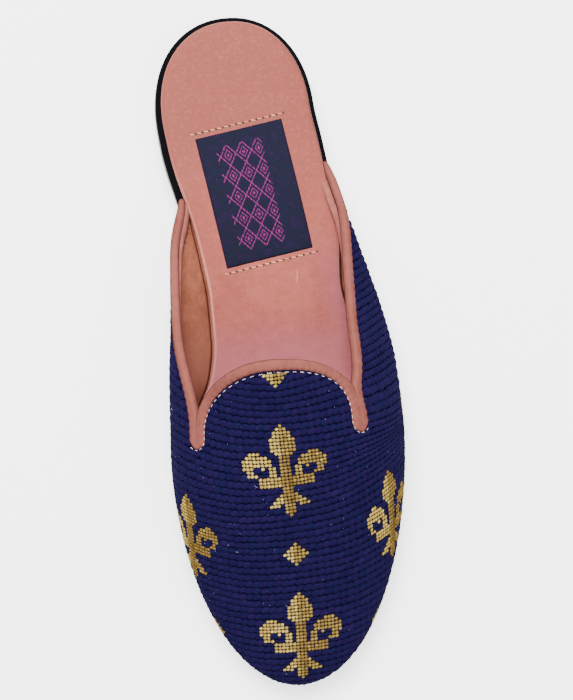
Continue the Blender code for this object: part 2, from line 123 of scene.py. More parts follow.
# The tab over the instep, the notch on each side of it, and the binding
TAB_BACK = 0.5212 * LENGTH
TAB_MIDDLE = -0.011 * BALL_WIDTH
TAB_POWER = {"inner": 2.2, "outer": 2.6}
NOTCH_ALONG = {"inner": 0.6175 * LENGTH, "outer": 0.613 * LENGTH}
NOTCH_ACROSS = {"inner": -0.325 * BALL_WIDTH, "outer": 0.360 * BALL_WIDTH}
NOTCH_RADIUS = 1.95 * MM
NOTCH_LEG = 9 * MM
BINDING_TIP = 14 * MM
TIP_SIZE = 0.45
BINDING_WIDTH = 3.5 * MM
BINDING_THICKNESS = 3.6 * MM
PLEAT = 2.85 * MM
FACING_WIDTH = 5.1 * MM
FACING_EXTRA = 3.4 * MM
FACING_TUCK = {"inner": 4.4 * MM, "outer": 6.0 * MM}
FACING_DEPTH = WALL + 0.30 * MM

OUTSOLE_COLUMNS = ("along", "inner", "outer")
OUTSOLE_ROWS = (
    (0.000, -0.369, 0.295),
    (0.136, -0.369, 0.314),
    (0.189, -0.354, 0.337),
    (0.265, -0.312, 0.368),
    (0.359, -0.265, 0.410),
    (0.416, -0.245, 0.447),
    (0.480, -0.242, 0.490),
    (0.529, -0.264, 0.520),
    (0.575, -0.325, 0.541),
    (0.624, -0.374, 0.553),
    (0.673, -0.404, 0.555),
    (0.718, -0.408, 0.555),
    (1.000, -0.408, 0.555),
)
LAST_COLUMNS = (
    "along",
    "swell_inner",
    "swell_outer",
    "swell_height_inner",
    "swell_height_outer",
    "ridge_across",
    "ridge_height",
    "rise_inner",
    "rise_outer",
    "crown_inner",
    "crown_outer",
)
LAST_ROWS = (
    (0.200, -0.270, 0.345, 0.36, 0.33, -0.045, 0.98, 0.50, 0.20, 0.45, 0.00),
    (0.284, -0.326, 0.391, 0.37, 0.33, -0.045, 1.02, 0.50, 0.20, 0.45, 0.00),
    (0.329, -0.353, 0.426, 0.41, 0.32, -0.044, 1.04, 0.50, 0.15, 0.45, 0.00),
    (0.378, -0.366, 0.467, 0.45, 0.30, -0.036, 1.05, 0.48, 0.15, 0.45, 0.00),
    (0.454, -0.385, 0.526, 0.46, 0.28, -0.022, 1.04, 0.45, 0.18, 0.42, 0.05),
    (0.529, -0.408, 0.565, 0.41, 0.27, -0.009, 0.975, 0.43, 0.26, 0.38, 0.21),
    (0.605, -0.422, 0.576, 0.35, 0.26, 0.012, 0.835, 0.48, 0.40, 0.45, 0.46),
    (0.669, -0.430, 0.578, 0.31, 0.25, 0.025, 0.755, 0.55, 0.50, 0.52, 0.53),
    (0.794, -0.430, 0.578, 0.28, 0.24, 0.048, 0.570, 0.55, 0.53, 0.54, 0.54),
    (0.919, -0.430, 0.578, 0.25, 0.237, 0.052, 0.410, 0.55, 0.55, 0.55, 0.55),
    (1.000, -0.430, 0.578, 0.237, 0.237, 0.048, 0.360, 0.55, 0.55, 0.55, 0.55),
)
TOPLINE_COLUMNS = ("height", "inner", "outer")
TOPLINE_ROWS = (
    (0.254, 0.266, 0.226),
    (0.286, 0.288, 0.254),
    (0.335, 0.318, 0.294),
    (0.400, 0.350, 0.337),
    (0.470, 0.398, 0.390),
    (0.555, 0.465, 0.460),
    (0.620, 0.530, 0.530),
)

# The needlework: small stitches for the figures, two by two of them for one of the ground's
PETIT = 1.411 * MM
SPINE_ZERO = 210.4 * MM
CANVAS_PULL = 0.013 / MM
TAKE_IN = 0.12
TAB_TURN = 0.11
PULL_MIDDLE = 19 * MM
PULL_REACH = 7 * MM
LOW_MIDDLE = 52 * MM
LOW_SHARE = 0.8
STITCH_LEAN = 0.34
GOLD_LEAN = 0.40
UNDER_BINDING = 1.1 * MM
FLEUR = (
    "#",
    "##",
    "###",
    "###",
    "####",
    "####",
    "####",
    "####",
    "###....###",
    "##...######",
    "##..########",
    "##..########",
    "##.##.#..###",
    "##.##....##",
    "##.##...###",
    "########",
    "########",
    "########",
    "##",
    "##",
    "###",
    "####",
    "#####",
    "##.###",
    "##",
    "##",
    "#",
)
LOZENGE = ("#", "##", "###", "####", "###", "##", "#")


# ---------------------------------------------------------------- the last and its lines


def smooth_value(columns, rows, name, place):
    """Read a column at a place between its rows, on a curve that adds no bumps of its own."""
    places = [row[0] for row in rows]
    values = [row[columns.index(name)] for row in rows]
    place = min(max(place, places[0]), places[-1])
    slopes = [
        (values[i + 1] - values[i]) / (places[i + 1] - places[i]) for i in range(len(rows) - 1)
    ]
    tangents = [slopes[0]]
    for before, after in zip(slopes, slopes[1:]):
        tangents.append(2 * before * after / (before + after) if before * after > 0 else 0.0)
    tangents.append(slopes[-1])
    start = max(i for i in range(len(rows) - 1) if places[i] <= place)
    step = places[start + 1] - places[start]
    t = (place - places[start]) / step
    ease = t * t * (3 - 2 * t)
    leave = t * (1 - t) * (1 - t) * step * tangents[start]
    arrive = t * t * (t - 1) * step * tangents[start + 1]
    return values[start] * (1 - ease) + values[start + 1] * ease + leave + arrive


def rounded(distance, reach, power=2.0):
    """Rise from 0 at an end to 1 at its reach, as the edge of an ellipse does."""
    left = 1 - min(1.0, max(0.0, distance / reach))
    return (1 - left**power) ** (1 / power)


def eased(share):
    """Go from 0 to 1, level at both ends."""
    share = np.clip(share, 0, 1)
    return share * share * (3 - 2 * share)


def bell(place, middle, reach):
    """A smooth hump, 1 at its middle."""
    return np.exp(-(((place - middle) / reach) ** 2))


def tread_height(along):
    """Height of the outsole's underside: heel seat, arch, flat tread and toe spring."""
    arch = HEEL_HEIGHT * eased((TREAD_BACK - along) / (TREAD_BACK - HEEL_BREAST))
    spring = TOE_SPRING * np.maximum(0, (along - TREAD_FRONT) / (LENGTH - TREAD_FRONT)) ** 2
    return arch + spring


def seat_height(along):
    """Height of the outsole's upper face."""
    return tread_height(along) + SOLE_THICKNESS


def sole_edge(side, along, inset=0.0):
    """How far across the outsole reaches at a place along it, closed round the heel and the toe."""
    front = LENGTH - TOE_UNDERCUT - inset
    full = smooth_value(OUTSOLE_COLUMNS, OUTSOLE_ROWS, side, along / LENGTH) * BALL_WIDTH
    full += inset if side == "inner" else -inset
    toe = rounded(front - along, TOE_REACH[side] - TOE_UNDERCUT - inset)
    heel = rounded(along - inset, HEEL_ROUND - inset, HEEL_POWER)
    forward = TOE_MIDDLE + (full - TOE_MIDDLE) * toe
    return HEEL_MIDDLE + (forward - HEEL_MIDDLE) * heel


def bezier(start, leave, arrive, end, steps):
    """Points of a cubic curve, as rows of coordinates."""
    t = np.linspace(0, 1, steps + 1)[:, None]
    points = np.array([start, leave, arrive, end])
    weights = ((1 - t) ** 3, 3 * t * (1 - t) ** 2, 3 * t * t * (1 - t), t**3)
    return sum(weight * point for weight, point in zip(weights, points))


def last_section(side, station, steps=40):
    """One side of the last at a station: (along, across, height) from ridge to feather line."""
    value = {
        name: smooth_value(LAST_COLUMNS, LAST_ROWS, name, station / LENGTH)
        for name in ("ridge_across", "ridge_height")
    }
    for name in ("swell", "swell_height", "rise", "crown"):
        value[name] = smooth_value(LAST_COLUMNS, LAST_ROWS, name + "_" + side, station / LENGTH)
    toe = rounded(LENGTH - station, TOE_REACH[side])
    cap = rounded(LENGTH - station, TOE_CAP)
    turned_in = max(0.0, 1 - (LENGTH - station) / TOE_REACH[side])
    seat = station - (TOE_UNDERCUT + FEATHER_INSET) * turned_in
    feather = np.array((seat, sole_edge(side, seat, FEATHER_INSET), seat_height(seat) + GAP))
    across = TOE_MIDDLE + (value["swell"] * BALL_WIDTH - TOE_MIDDLE) * toe
    swell_high = TOE_TIP_HEIGHT + (value["swell_height"] * THROAT_HEIGHT - TOE_TIP_HEIGHT) * cap
    ridge_high = TOE_TIP_HEIGHT + (value["ridge_height"] * THROAT_HEIGHT - TOE_TIP_HEIGHT) * cap
    middle = value["ridge_across"] * BALL_WIDTH
    middle = TOE_MIDDLE + (middle - TOE_MIDDLE) * eased((LENGTH - station) / RIDGE_TURN)
    swell = np.array((station, across, swell_high))
    ridge = np.array((station, middle, ridge_high))
    over = bezier(
        ridge,
        ridge + value["crown"] * np.array((0, across - middle, 0)),
        swell + value["rise"] * np.array((0, 0, ridge_high - swell_high)),
        swell,
        steps,
    )
    under = bezier(
        swell,
        swell - SWELL_HANDLE * np.array((0, 0, swell_high - feather[2])),
        feather + FOOT_HANDLE * (swell - feather),
        feather,
        steps // 2,
    )
    return np.vstack((over, under[1:])), steps


def girths(section):
    """Distance round a section or along a line from its first point, for each of its points."""
    steps = np.linalg.norm(np.diff(section, axis=0), axis=1)
    return np.concatenate(([0.0], np.cumsum(steps)))


def sampled(table, lengths, places):
    """Read a table's rows, which lie at lengths, at places between them."""
    return np.column_stack([np.interp(places, lengths, column) for column in table.T])


def world(points):
    """Turn rows of (along, across, height) into the part's own frame."""
    points = np.asarray(points)
    return np.stack(
        (points[..., 1] - MIDDLE_ACROSS, MIDDLE_ALONG - points[..., 0], points[..., 2]), axis=-1
    )


def girth_at_across(side, along, across):
    """Girth of the point over a place on the plan, above the widest point."""
    section, steps = last_section(side, along)
    section = section[: steps + 1]
    sign = -1 if side == "inner" else 1
    return sign * np.interp(sign * across, sign * section[:, 1], girths(section))


def girth_at_height(side, along, height):
    """Girth of the point at a height on the side wall."""
    section = last_section(side, along)[0]
    sign = -1 if side == "inner" else 1
    return sign * np.interp(-height, -section[:, 2], girths(section))


def curve_through(points, steps=8):
    """A smooth line through points on the pattern."""
    points = [np.array(point) for point in points]
    ends = [2 * points[0] - points[1]] + points + [2 * points[-1] - points[-2]]
    line = []
    for before, start, end, after in zip(ends, ends[1:], ends[2:], ends[3:]):
        reach = np.linalg.norm(end - start) / 3
        leave = (end - before) / np.linalg.norm(end - before) * reach
        arrive = (after - start) / np.linalg.norm(after - start) * reach
        line.extend(bezier(start, start + leave, end - arrive, end, steps)[:-1])
    line.append(points[-1])
    return line


def half_topline(side):
    """The line of the binding from the sole up the wing, round the notch and over half the tab."""
    sign = -1 if side == "inner" else 1
    notch = NOTCH_ALONG[side]
    middle = girth_at_across(side, notch, NOTCH_ACROSS[side])
    wing = []
    for height, *places in TOPLINE_ROWS:
        along = dict(zip(TOPLINE_COLUMNS[1:], places))[side] * LENGTH
        wing.append((along, girth_at_height(side, along, height * THROAT_HEIGHT)))
    for back in (NOTCH_LEG, 0.0):
        wing.append((notch - back, middle + sign * NOTCH_RADIUS))
    line = curve_through(wing)
    for turn in np.linspace(0, math.pi, 17)[1:]:
        across = middle + sign * NOTCH_RADIUS * math.cos(turn)
        line.append((notch + NOTCH_RADIUS * math.sin(turn), across))
    section = last_section(side, notch)[0]
    leg = np.interp(abs(middle - sign * NOTCH_RADIUS), girths(section), section[:, 1])
    for turn in np.linspace(0, math.pi / 2, 41)[1:]:
        across = TAB_MIDDLE + (leg - TAB_MIDDLE) * math.cos(turn) ** (2 / TAB_POWER[side])
        along = notch - (notch - TAB_BACK) * math.sin(turn) ** (2 / TAB_POWER[side])
        line.append((along, girth_at_across(side, along, across)))
    line[-1] = (TAB_BACK, 0.0)
    return line


# ---------------------------------------------------------------- tables of points on the last

SURVEY_STEP = 0.5 * MM
SHARE_STEPS = 110
REACH_START = 0.2 * LENGTH
SHELL_BACK = 0.215 * LENGTH
REACH_END = LENGTH + TOE_TURN * (math.pi / 2 - 1)


def station_at(reach):
    """Turn a reach into a station: it is stretched over the toe."""
    start = LENGTH - TOE_TURN
    if reach <= start:
        return reach
    return start + TOE_TURN * math.sin(min((reach - start) / TOE_TURN, math.pi / 2))


def unit(vectors):
    """Give vectors the length 1."""
    lengths = np.linalg.norm(vectors, axis=-1, keepdims=True)
    return vectors / np.maximum(lengths, 1e-12)


def dot(one, other):
    """Scalar product of rows of vectors, kept as a column."""
    return np.sum(one * other, axis=-1, keepdims=True)


def read(table, rows, columns):
    """Read a table of vectors between its rows and columns."""
    rows = np.clip(rows, 0, table.shape[0] - 1)
    columns = np.clip(columns, 0, table.shape[1] - 1)
    row = np.minimum(rows.astype(int), table.shape[0] - 2)
    column = np.minimum(columns.astype(int), table.shape[1] - 2)
    down = (rows - row)[..., None]
    right = (columns - column)[..., None]
    near = table[row, column] * (1 - right) + table[row, column + 1] * right
    far = table[row + 1, column] * (1 - right) + table[row + 1, column + 1] * right
    return near * (1 - down) + far * down


class Last:
    """The surface of the last as a table: a row for each reach, a column for each share."""

    def __init__(self):
        count = round((REACH_END - REACH_START) / SURVEY_STEP)
        self.reaches = np.linspace(REACH_START, REACH_END, count + 1)
        self.points = np.empty((count + 1, 2 * SHARE_STEPS + 1, 3))
        self.feather = np.empty((count + 1, 2))
        for row, reach in enumerate(self.reaches):
            for sign, side in ((-1, "inner"), (1, "outer")):
                section = last_section(side, station_at(reach))[0]
                lengths = girths(section)
                wanted = np.linspace(0, lengths[-1], SHARE_STEPS + 1)
                half = [np.interp(wanted, lengths, section[:, axis]) for axis in range(3)]
                half = world(np.array(half).T)
                self.points[row, SHARE_STEPS::sign][: SHARE_STEPS + 1] = half
                self.feather[row, (sign + 1) // 2] = lengths[-1]
        self.ahead, self.round = np.gradient(self.points, axis=(0, 1))
        self.normals = unit(np.cross(self.ahead, self.round))
        self.normals[-1, SHARE_STEPS] = (0, -1, 0)

    def place(self, rows, columns, height=0.0):
        """Points at a height over the surface."""
        height = np.asarray(height)
        if height.ndim:
            height = height[..., None]
        return read(self.points, rows, columns) + unit(read(self.normals, rows, columns)) * height

    def row(self, reach):
        """Rows of the table, as numbers with fractions, at reaches."""
        share = (np.asarray(reach) - REACH_START) / (REACH_END - REACH_START)
        return share * (len(self.reaches) - 1)

    def full_girth(self, rows, side):
        """Girth from the ridge to the feather line, on the side that a number's sign tells."""
        every = np.arange(len(self.reaches))
        inner, outer = (np.interp(rows, every, half) for half in self.feather.T)
        return np.where(np.asarray(side) < 0, inner, outer)

    def find(self, along, girth):
        """Row and column of places given by their length along and girth, behind the toe."""
        rows = self.row(along)
        share = np.asarray(girth) / self.full_girth(rows, girth)
        return rows, (share + 1) * SHARE_STEPS

    def from_topline(self, rows, columns, points):
        """How far points at rows and columns are from the topline: negative in the opening."""
        share = columns / SHARE_STEPS - 1
        along = np.interp(rows, np.arange(len(self.reaches)), self.reaches)
        return signed_distance(points, along, share * self.full_girth(rows, share))

    def walk(self, rows, columns, headings, step, parts=2):
        """Take one straight step over the surface from many places at once."""
        rows, columns = rows.copy(), columns.copy()
        for _ in range(parts):
            ahead = read(self.ahead, rows, columns)
            around = read(self.round, rows, columns)
            aa, ar, rr = dot(ahead, ahead), dot(ahead, around), dot(around, around)
            wish_a, wish_r = dot(ahead, headings), dot(around, headings)
            scale = step / parts / np.maximum(aa * rr - ar * ar, 1e-18)
            rows += ((rr * wish_a - ar * wish_r) * scale)[..., 0]
            columns += ((aa * wish_r - ar * wish_a) * scale)[..., 0]
            normals = unit(read(self.normals, rows, columns))
            headings = unit(headings - normals * dot(headings, normals))
        return rows, columns, headings


LAST = Last()


class Topline:
    """The line under the middle of the binding and its frames, from the inner side to the outer."""

    def __init__(self, step=0.6 * MM):
        line = np.array(half_topline("inner") + half_topline("outer")[::-1][1:])
        fine = np.linspace(0, len(line) - 1, 12 * len(line))
        line = sampled(line, np.arange(len(line)), fine)
        lengths = girths(LAST.place(*LAST.find(*line.T)))
        count = round(lengths[-1] / step)
        self.lengths = np.linspace(0, lengths[-1], count + 1)
        line = sampled(line, lengths, self.lengths)
        for _ in range(6):
            line[1:-1] = (line[:-2] + 2 * line[1:-1] + line[2:]) / 4
        self.pattern = line
        self.rows, self.columns = LAST.find(*line.T)
        self.points = LAST.place(self.rows, self.columns)
        self.normals = unit(read(LAST.normals, self.rows, self.columns))
        self.tangents = unit(np.gradient(self.points, axis=0))
        self.right = unit(np.cross(self.tangents, self.normals))
        away = []
        for side, notch in NOTCH_ALONG.items():
            middle = (notch, girth_at_across(side, notch, NOTCH_ACROSS[side]))
            away.append(np.hypot(*(line - middle).T))
        self.notch = np.minimum(*away)
        self.feet = [int(np.argmin(one)) for one in away]
        ends = np.minimum(self.lengths, self.lengths[-1] - self.lengths)
        grown = np.array([rounded(end, BINDING_TIP) for end in ends])
        self.size = TIP_SIZE + (1 - TIP_SIZE) * grown

    def aside(self, distances):
        """Rows and columns of lines that lie at distances to the right of this one."""
        rows, columns, headings = self.rows, self.columns, self.right
        found, gone = [], 0.0
        for distance in distances:
            rows, columns, headings = LAST.walk(rows, columns, headings, distance - gone, parts=4)
            gone = distance
            found.append((rows, columns))
        return found


TOPLINE = Topline()


class Canvas:
    """The needlework's own grid of corners, laid over the last and not stretched on the ridge."""

    def __init__(self, side_cells=78, back_rows=70, front_rows=16):
        ridge = LAST.points[:, SHARE_STEPS]
        lengths = girths(ridge)
        zero = np.interp(SPINE_ZERO, LAST.reaches, lengths)
        first = math.floor((np.interp(0.57 * LENGTH, LAST.reaches, lengths) - zero) / PETIT)
        final = math.floor((np.interp(LENGTH - 7 * MM, LAST.reaches, lengths) - zero) / PETIT)
        corners = np.arange(first, final + 1) + 0.5
        rows = np.interp(zero + corners * PETIT, lengths, np.arange(len(lengths)))
        self.first = corners[0] - back_rows
        middle = np.full(len(rows), float(SHARE_STEPS))
        ahead = unit(read(LAST.ahead, rows, middle))
        aside = read(LAST.round, rows, middle)
        on_tab = eased((-corners[:, None] - 12) / 28)
        aside = unit(unit(aside - ahead * dot(aside, ahead)) + TAB_TURN * on_tab * ahead)
        halves = []
        for sign in (-1, 1):
            place = (rows, middle, sign * aside)
            half = []
            for cell in range(side_cells):
                pitch = PETIT * (1 - TAKE_IN * eased((cell * PETIT - PULL_MIDDLE) / PULL_REACH / 2))
                near, across, heading = LAST.walk(*place, pitch if cell else pitch / 2)
                pull = bell(cell * PETIT, PULL_MIDDLE, PULL_REACH) * (1 if sign < 0 else 1 - on_tab)
                if sign > 0:
                    pull = pull + LOW_SHARE * bell(cell * PETIT, LOW_MIDDLE, PULL_REACH) * on_tab
                backward = np.cross(sign * unit(read(LAST.normals, near, across)), heading)
                place = (near, across, unit(heading + PETIT * CANVAS_PULL * pull * backward))
                half.append(place)
            halves.append([np.stack(part, axis=1) for part in zip(*half)])
        inner, outer = halves
        rows, columns, outward = (
            np.concatenate((sign * one[:, ::-1], other), axis=1)
            for sign, one, other in zip((1, 1, -1), inner, outer)
        )
        forward = unit(np.cross(outward, unit(read(LAST.normals, rows, columns))))
        blocks = [np.stack((rows, columns))]
        for at, sign, count in ((0, -1, back_rows), (-1, 1, front_rows)):
            place = (rows[at], columns[at], sign * forward[at])
            for _ in range(count):
                place = LAST.walk(*place, PETIT)
                blocks.insert(len(blocks) if sign > 0 else 0, np.stack(place[:2])[:, None])
        self.side_cells = side_cells
        self.last_rows, self.last_columns = np.concatenate(blocks, axis=1)
        self.points = LAST.place(self.last_rows, self.last_columns)
        self.normals = unit(read(LAST.normals, self.last_rows, self.last_columns))
        share = self.last_columns / SHARE_STEPS - 1
        self.to_feather = LAST.full_girth(self.last_rows, share) * (1 - np.abs(share))
        self.to_topline = LAST.from_topline(self.last_rows, self.last_columns, self.points)

    def at(self, across, along):
        """Row and column, with fractions, of places on the canvas given in small stitches."""
        return along - self.first, across + self.side_cells - 0.5

    def field(self, values, across, along):
        """Read one of the canvas's own tables of numbers."""
        return read(values[..., None], *self.at(across, along))[..., 0]

    def lay(self, across, along, height):
        """Points at heights over the last, for places on the canvas given in small stitches."""
        normals = unit(read(self.normals, *self.at(across, along)))
        return read(self.points, *self.at(across, along)) + normals * height[..., None]


def signed_distance(points, along, girth):
    """How far points of the last are from the topline: negative in the opening."""
    line, pattern = TOPLINE.points, TOPLINE.pattern
    flat = points.reshape(-1, 3)
    nearest = np.empty(len(flat))
    for start in range(0, len(flat), 4000):
        block = flat[start : start + 4000, None] - line[None, ::2]
        nearest[start : start + 4000] = np.sqrt((block**2).sum(axis=2).min(axis=1))
    fence = np.vstack((pattern, ((0.0, 0.2), (-0.1, 0.2), (-0.1, -0.2), (0.0, -0.2))))[::3]
    x, y = along.reshape(-1), girth.reshape(-1)
    crossings = np.zeros(len(x), int)
    for (x0, y0), (x1, y1) in zip(fence, np.roll(fence, -1, axis=0)):
        if y0 != y1:
            spans = (y0 > y) != (y1 > y)
            crossings += spans & (x < x0 + (y - y0) * (x1 - x0) / (y1 - y0))
    signs = np.where(crossings % 2 == 1, -1.0, 1.0)
    return (nearest * signs).reshape(points.shape[:-1])


CANVAS = Canvas()


# ---------------------------------------------------------------- modelling helpers


def clear_selection():
    """Leave edit mode and deselect everything."""
    if bpy.context.object and bpy.context.object.mode != "OBJECT":
        bpy.ops.object.mode_set(mode="OBJECT")
    bpy.ops.object.select_all(action="DESELECT")


def pick(piece):
    """Select one piece alone."""
    clear_selection()
    bpy.context.view_layer.objects.active = piece
    piece.select_set(True)


def numbers(items, name, width=3):
    """Read one property of all a mesh's parts as a table."""
    table = np.empty(len(items) * width, np.float32)
    items.foreach_get(name, table)
    return table.reshape(-1, width)


def quilted(name, points, close=True, capped=False):
    """A grid primitive with its corners moved to a table of points, and joined where they meet."""
    clear_selection()
    rows, columns = points.shape[:2]
    bpy.ops.mesh.primitive_grid_add(x_subdivisions=columns - 1, y_subdivisions=rows - 1, size=1)
    piece = bpy.context.object
    piece.name = name
    piece.data.name = name
    flat = numbers(piece.data.vertices, "co")
    column = np.rint((flat[:, 0] + 0.5) * (columns - 1)).astype(int)
    row = np.rint((flat[:, 1] + 0.5) * (rows - 1)).astype(int)
    piece.data.vertices.foreach_set("co", points[row, column].astype(np.float32).reshape(-1))
    piece.data.update()
    if close:
        bpy.ops.object.mode_set(mode="EDIT")
        bpy.ops.mesh.select_all(action="SELECT")
        bpy.ops.mesh.remove_doubles(threshold=WELD)
        if capped:
            bpy.ops.mesh.select_mode(type="VERT")
            bpy.ops.mesh.select_all(action="DESELECT")
            bpy.ops.mesh.select_non_manifold(extend=False)
            bpy.ops.mesh.fill()
            bpy.ops.mesh.select_all(action="SELECT")
        bpy.ops.mesh.normals_make_consistent(inside=False)
        bpy.ops.object.mode_set(mode="OBJECT")
    bpy.ops.object.shade_smooth()
    return piece


def settle(piece, material, slot, *nodes):
    """Give a piece its material and tie it to the frame."""
    clear_selection()
    piece.data.materials.clear()
    piece.data.materials.append(material)
    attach(piece, "root")
    if nodes:
        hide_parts(*nodes)
    return piece


def drop_faces(piece, unwanted):
    """Delete the faces whose numbers are marked."""
    pick(piece)
    bpy.ops.object.mode_set(mode="EDIT")
    bpy.ops.mesh.select_all(action="DESELECT")
    bpy.ops.object.mode_set(mode="OBJECT")
    piece.data.polygons.foreach_set("select", unwanted.astype(bool))
    bpy.ops.object.mode_set(mode="EDIT")
    bpy.ops.mesh.select_mode(type="FACE")
    bpy.ops.mesh.delete(type="FACE")
    bpy.ops.object.mode_set(mode="OBJECT")


def thicken(piece, thickness):
    """Give an open sheet its thickness, downwards from its upper face."""
    pick(piece)
    if piece.data.polygons[len(piece.data.polygons) // 2].normal.z < 0:
        piece.data.flip_normals()
    wall = piece.modifiers.new("wall", "SOLIDIFY")
    wall.thickness = thickness
    wall.offset = -1.0
    bpy.ops.object.modifier_apply(modifier=wall.name)


def stitch_shape(segments, rings, power=0.75):
    """A plump stitch along x, from -1 to 1 each way, its seam beneath: points, faces and turns."""
    clear_selection()
    bpy.ops.mesh.primitive_uv_sphere_add(segments=segments, ring_count=rings, radius=1)
    ball = bpy.context.object
    points = np.array([vertex.co[:] for vertex in ball.data.vertices])
    faces = [tuple(face.vertices) for face in ball.data.polygons]
    bpy.data.objects.remove(ball)
    points = np.column_stack((points[:, 2], points[:, 1], -points[:, 0]))
    points[:, 0] = np.sign(points[:, 0]) * np.abs(points[:, 0]) ** power
    turn = np.arctan2(points[:, 1], points[:, 2]) / (2 * math.pi) + 0.5
    return points, faces, turn


def give_yarn(mesh, *parts):
    """Store three numbers for each corner of a mesh, for its material to read."""
    yarn = np.stack(np.broadcast_arrays(*parts), axis=-1).astype(np.float32)
    attribute = mesh.attributes.new("yarn", "FLOAT_VECTOR", "POINT")
    attribute.data.foreach_set("vector", yarn.reshape(-1))


def joined(name, points, faces, *yarn):
    """One mesh of many equal shapes: points is a table of shapes by vertices by coordinates."""
    count, corners = points.shape[:2]
    clear_selection()
    mesh = bpy.data.meshes.new(name)
    sizes = np.array([len(face) for face in faces])
    loops = np.concatenate([np.array(face) for face in faces])
    every = (loops[None] + np.arange(count)[:, None] * corners).reshape(-1)
    starts = np.concatenate(([0], np.cumsum(np.tile(sizes, count))[:-1]))
    mesh.vertices.add(count * corners)
    mesh.vertices.foreach_set("co", points.astype(np.float32).reshape(-1))
    mesh.loops.add(len(every))
    mesh.loops.foreach_set("vertex_index", every.astype(np.int32))
    mesh.polygons.add(count * len(sizes))
    mesh.polygons.foreach_set("loop_start", starts.astype(np.int32))
    mesh.update(calc_edges=True)
    mesh.validate()
    mesh.shade_smooth()
    give_yarn(mesh, *yarn)
    piece = bpy.data.objects.new(name, mesh)
    bpy.context.scene.collection.objects.link(piece)
    return piece


# ---------------------------------------------------------------- materials


class Value:
    """A number or colour in a material; a sum written on it adds the Math node for it."""

    def __init__(self, paint, socket):
        self.paint = paint
        self.socket = socket

    def math(self, operation, *others):
        return self.paint.node("Math", {"operation": operation}, self, *others)

    def __add__(self, other):
        return self.math("ADD", other)

    def __mul__(self, other):
        return self.math("MULTIPLY", other)

    def __sub__(self, other):
        return self.math("SUBTRACT", other)

    def __rsub__(self, other):
        return self.paint.node("Math", {"operation": "SUBTRACT"}, other, self)

    def __truediv__(self, other):
        return self.math("DIVIDE", other)

    __radd__ = __add__
    __rmul__ = __mul__

    def sine(self):
        return self.math("SINE")

    def most(self, other):
        return self.math("MAXIMUM", other)

    def size(self):
        return self.math("ABSOLUTE")

    def wrapped(self, width):
        """The distance to the nearest multiple of a width, as a share of half the width."""
        return self.math("PINGPONG", width / 2) / (width / 2)


class Paint:
    """One material and its nodes."""

    def __init__(self, name, **fixed):
        self.material = bpy.data.materials.new(name)
        self.material.use_nodes = True
        self.tree = self.material.node_tree
        self.shader = self.tree.nodes["Principled BSDF"]
        for socket, value in fixed.items():
            self.shader.inputs[socket.replace("_", " ")].default_value = value

    def node(self, kind, settings, *values, out=0, **named):
        """Add a node, set it up, fill its sockets in order or by name, and give one output."""
        node = self.tree.nodes.new("ShaderNode" + kind)
        for name, value in settings.items():
            if name == "stops":
                ramp = node.color_ramp
                while len(ramp.elements) < len(value):
                    ramp.elements.new(0.5)
                for element, (place, color) in zip(ramp.elements, value):
                    element.position = place
                    element.color = (*color, 1)
            else:
                setattr(node, name, value)
        sockets = [socket for socket in node.inputs if socket.enabled]
        pairs = list(zip(sockets, values))
        pairs += [(node.inputs[name.replace("_", " ")], value) for name, value in named.items()]
        for socket, value in pairs:
            if isinstance(value, Value):
                self.tree.links.new(value.socket, socket)
            elif value is not None:
                if isinstance(value, tuple) and len(value) == 3 and len(socket.default_value) == 4:
                    value = (*value, 1)
                socket.default_value = value
        outputs = [socket for socket in node.outputs if socket.enabled]
        return Value(self, outputs[out])

    def mix(self, factor, one, other):
        """Blend two colours."""
        return self.node("Mix", {"data_type": "RGBA"}, factor, one, other)

    def place(self):
        """Object coordinates."""
        return self.node("TexCoord", {}, out=3)

    def stretched(self, vector, scale, turn=(0, 0, 0)):
        """Scale and turn coordinates."""
        return self.node("Mapping", {}, vector, None, turn, scale)

    def noise(self, vector, scale, detail=2.0, rough=0.5):
        """Soft random spots, from 0 to 1."""
        return self.node("TexNoise", {}, vector, Scale=scale, Detail=detail, Roughness=rough)

    def cells(self, vector, scale):
        """Distance to the nearest of scattered points."""
        return self.node("TexVoronoi", {}, vector, Scale=scale)

    def wave(self, value, pitch):
        """Rise and fall from 0 to 1 and back once in every pitch."""
        return (value * (2 * math.pi / pitch)).sine() * 0.5 + 0.5

    def yarn(self):
        """The three numbers that the piece's maker stored at each corner."""
        return self.parts(self.node("Attribute", {"attribute_name": "yarn"}, out=1))

    def ramp(self, factor, *stops):
        """Colours along a number."""
        return self.node("ValToRGB", {"stops": stops}, factor)

    def band(self, value, low, high):
        """Rise smoothly from 0 to 1 between two numbers."""
        settings = {"interpolation_type": "SMOOTHSTEP"}
        return self.node("MapRange", settings, value, low, high, 0.0, 1.0)

    def parts(self, vector):
        """The three parts of a vector."""
        split = self.node("SeparateXYZ", {}, vector)
        return [Value(self, socket) for socket in split.socket.node.outputs]

    def finish(self, bumps=(), **values):
        """Link what varies to the shader, and stack the bumps as (height, strength, distance)."""
        normal = None
        for height, strength, distance in bumps:
            settings = {"Height": height, "Strength": strength, "Distance": distance}
            if normal is not None:
                settings["Normal"] = normal
            normal = self.node("Bump", {}, **settings)
        if normal is not None:
            values["Normal"] = normal
        for name, value in values.items():
            self.tree.links.new(value.socket, self.shader.inputs[name.replace("_", " ")])
        return self.material


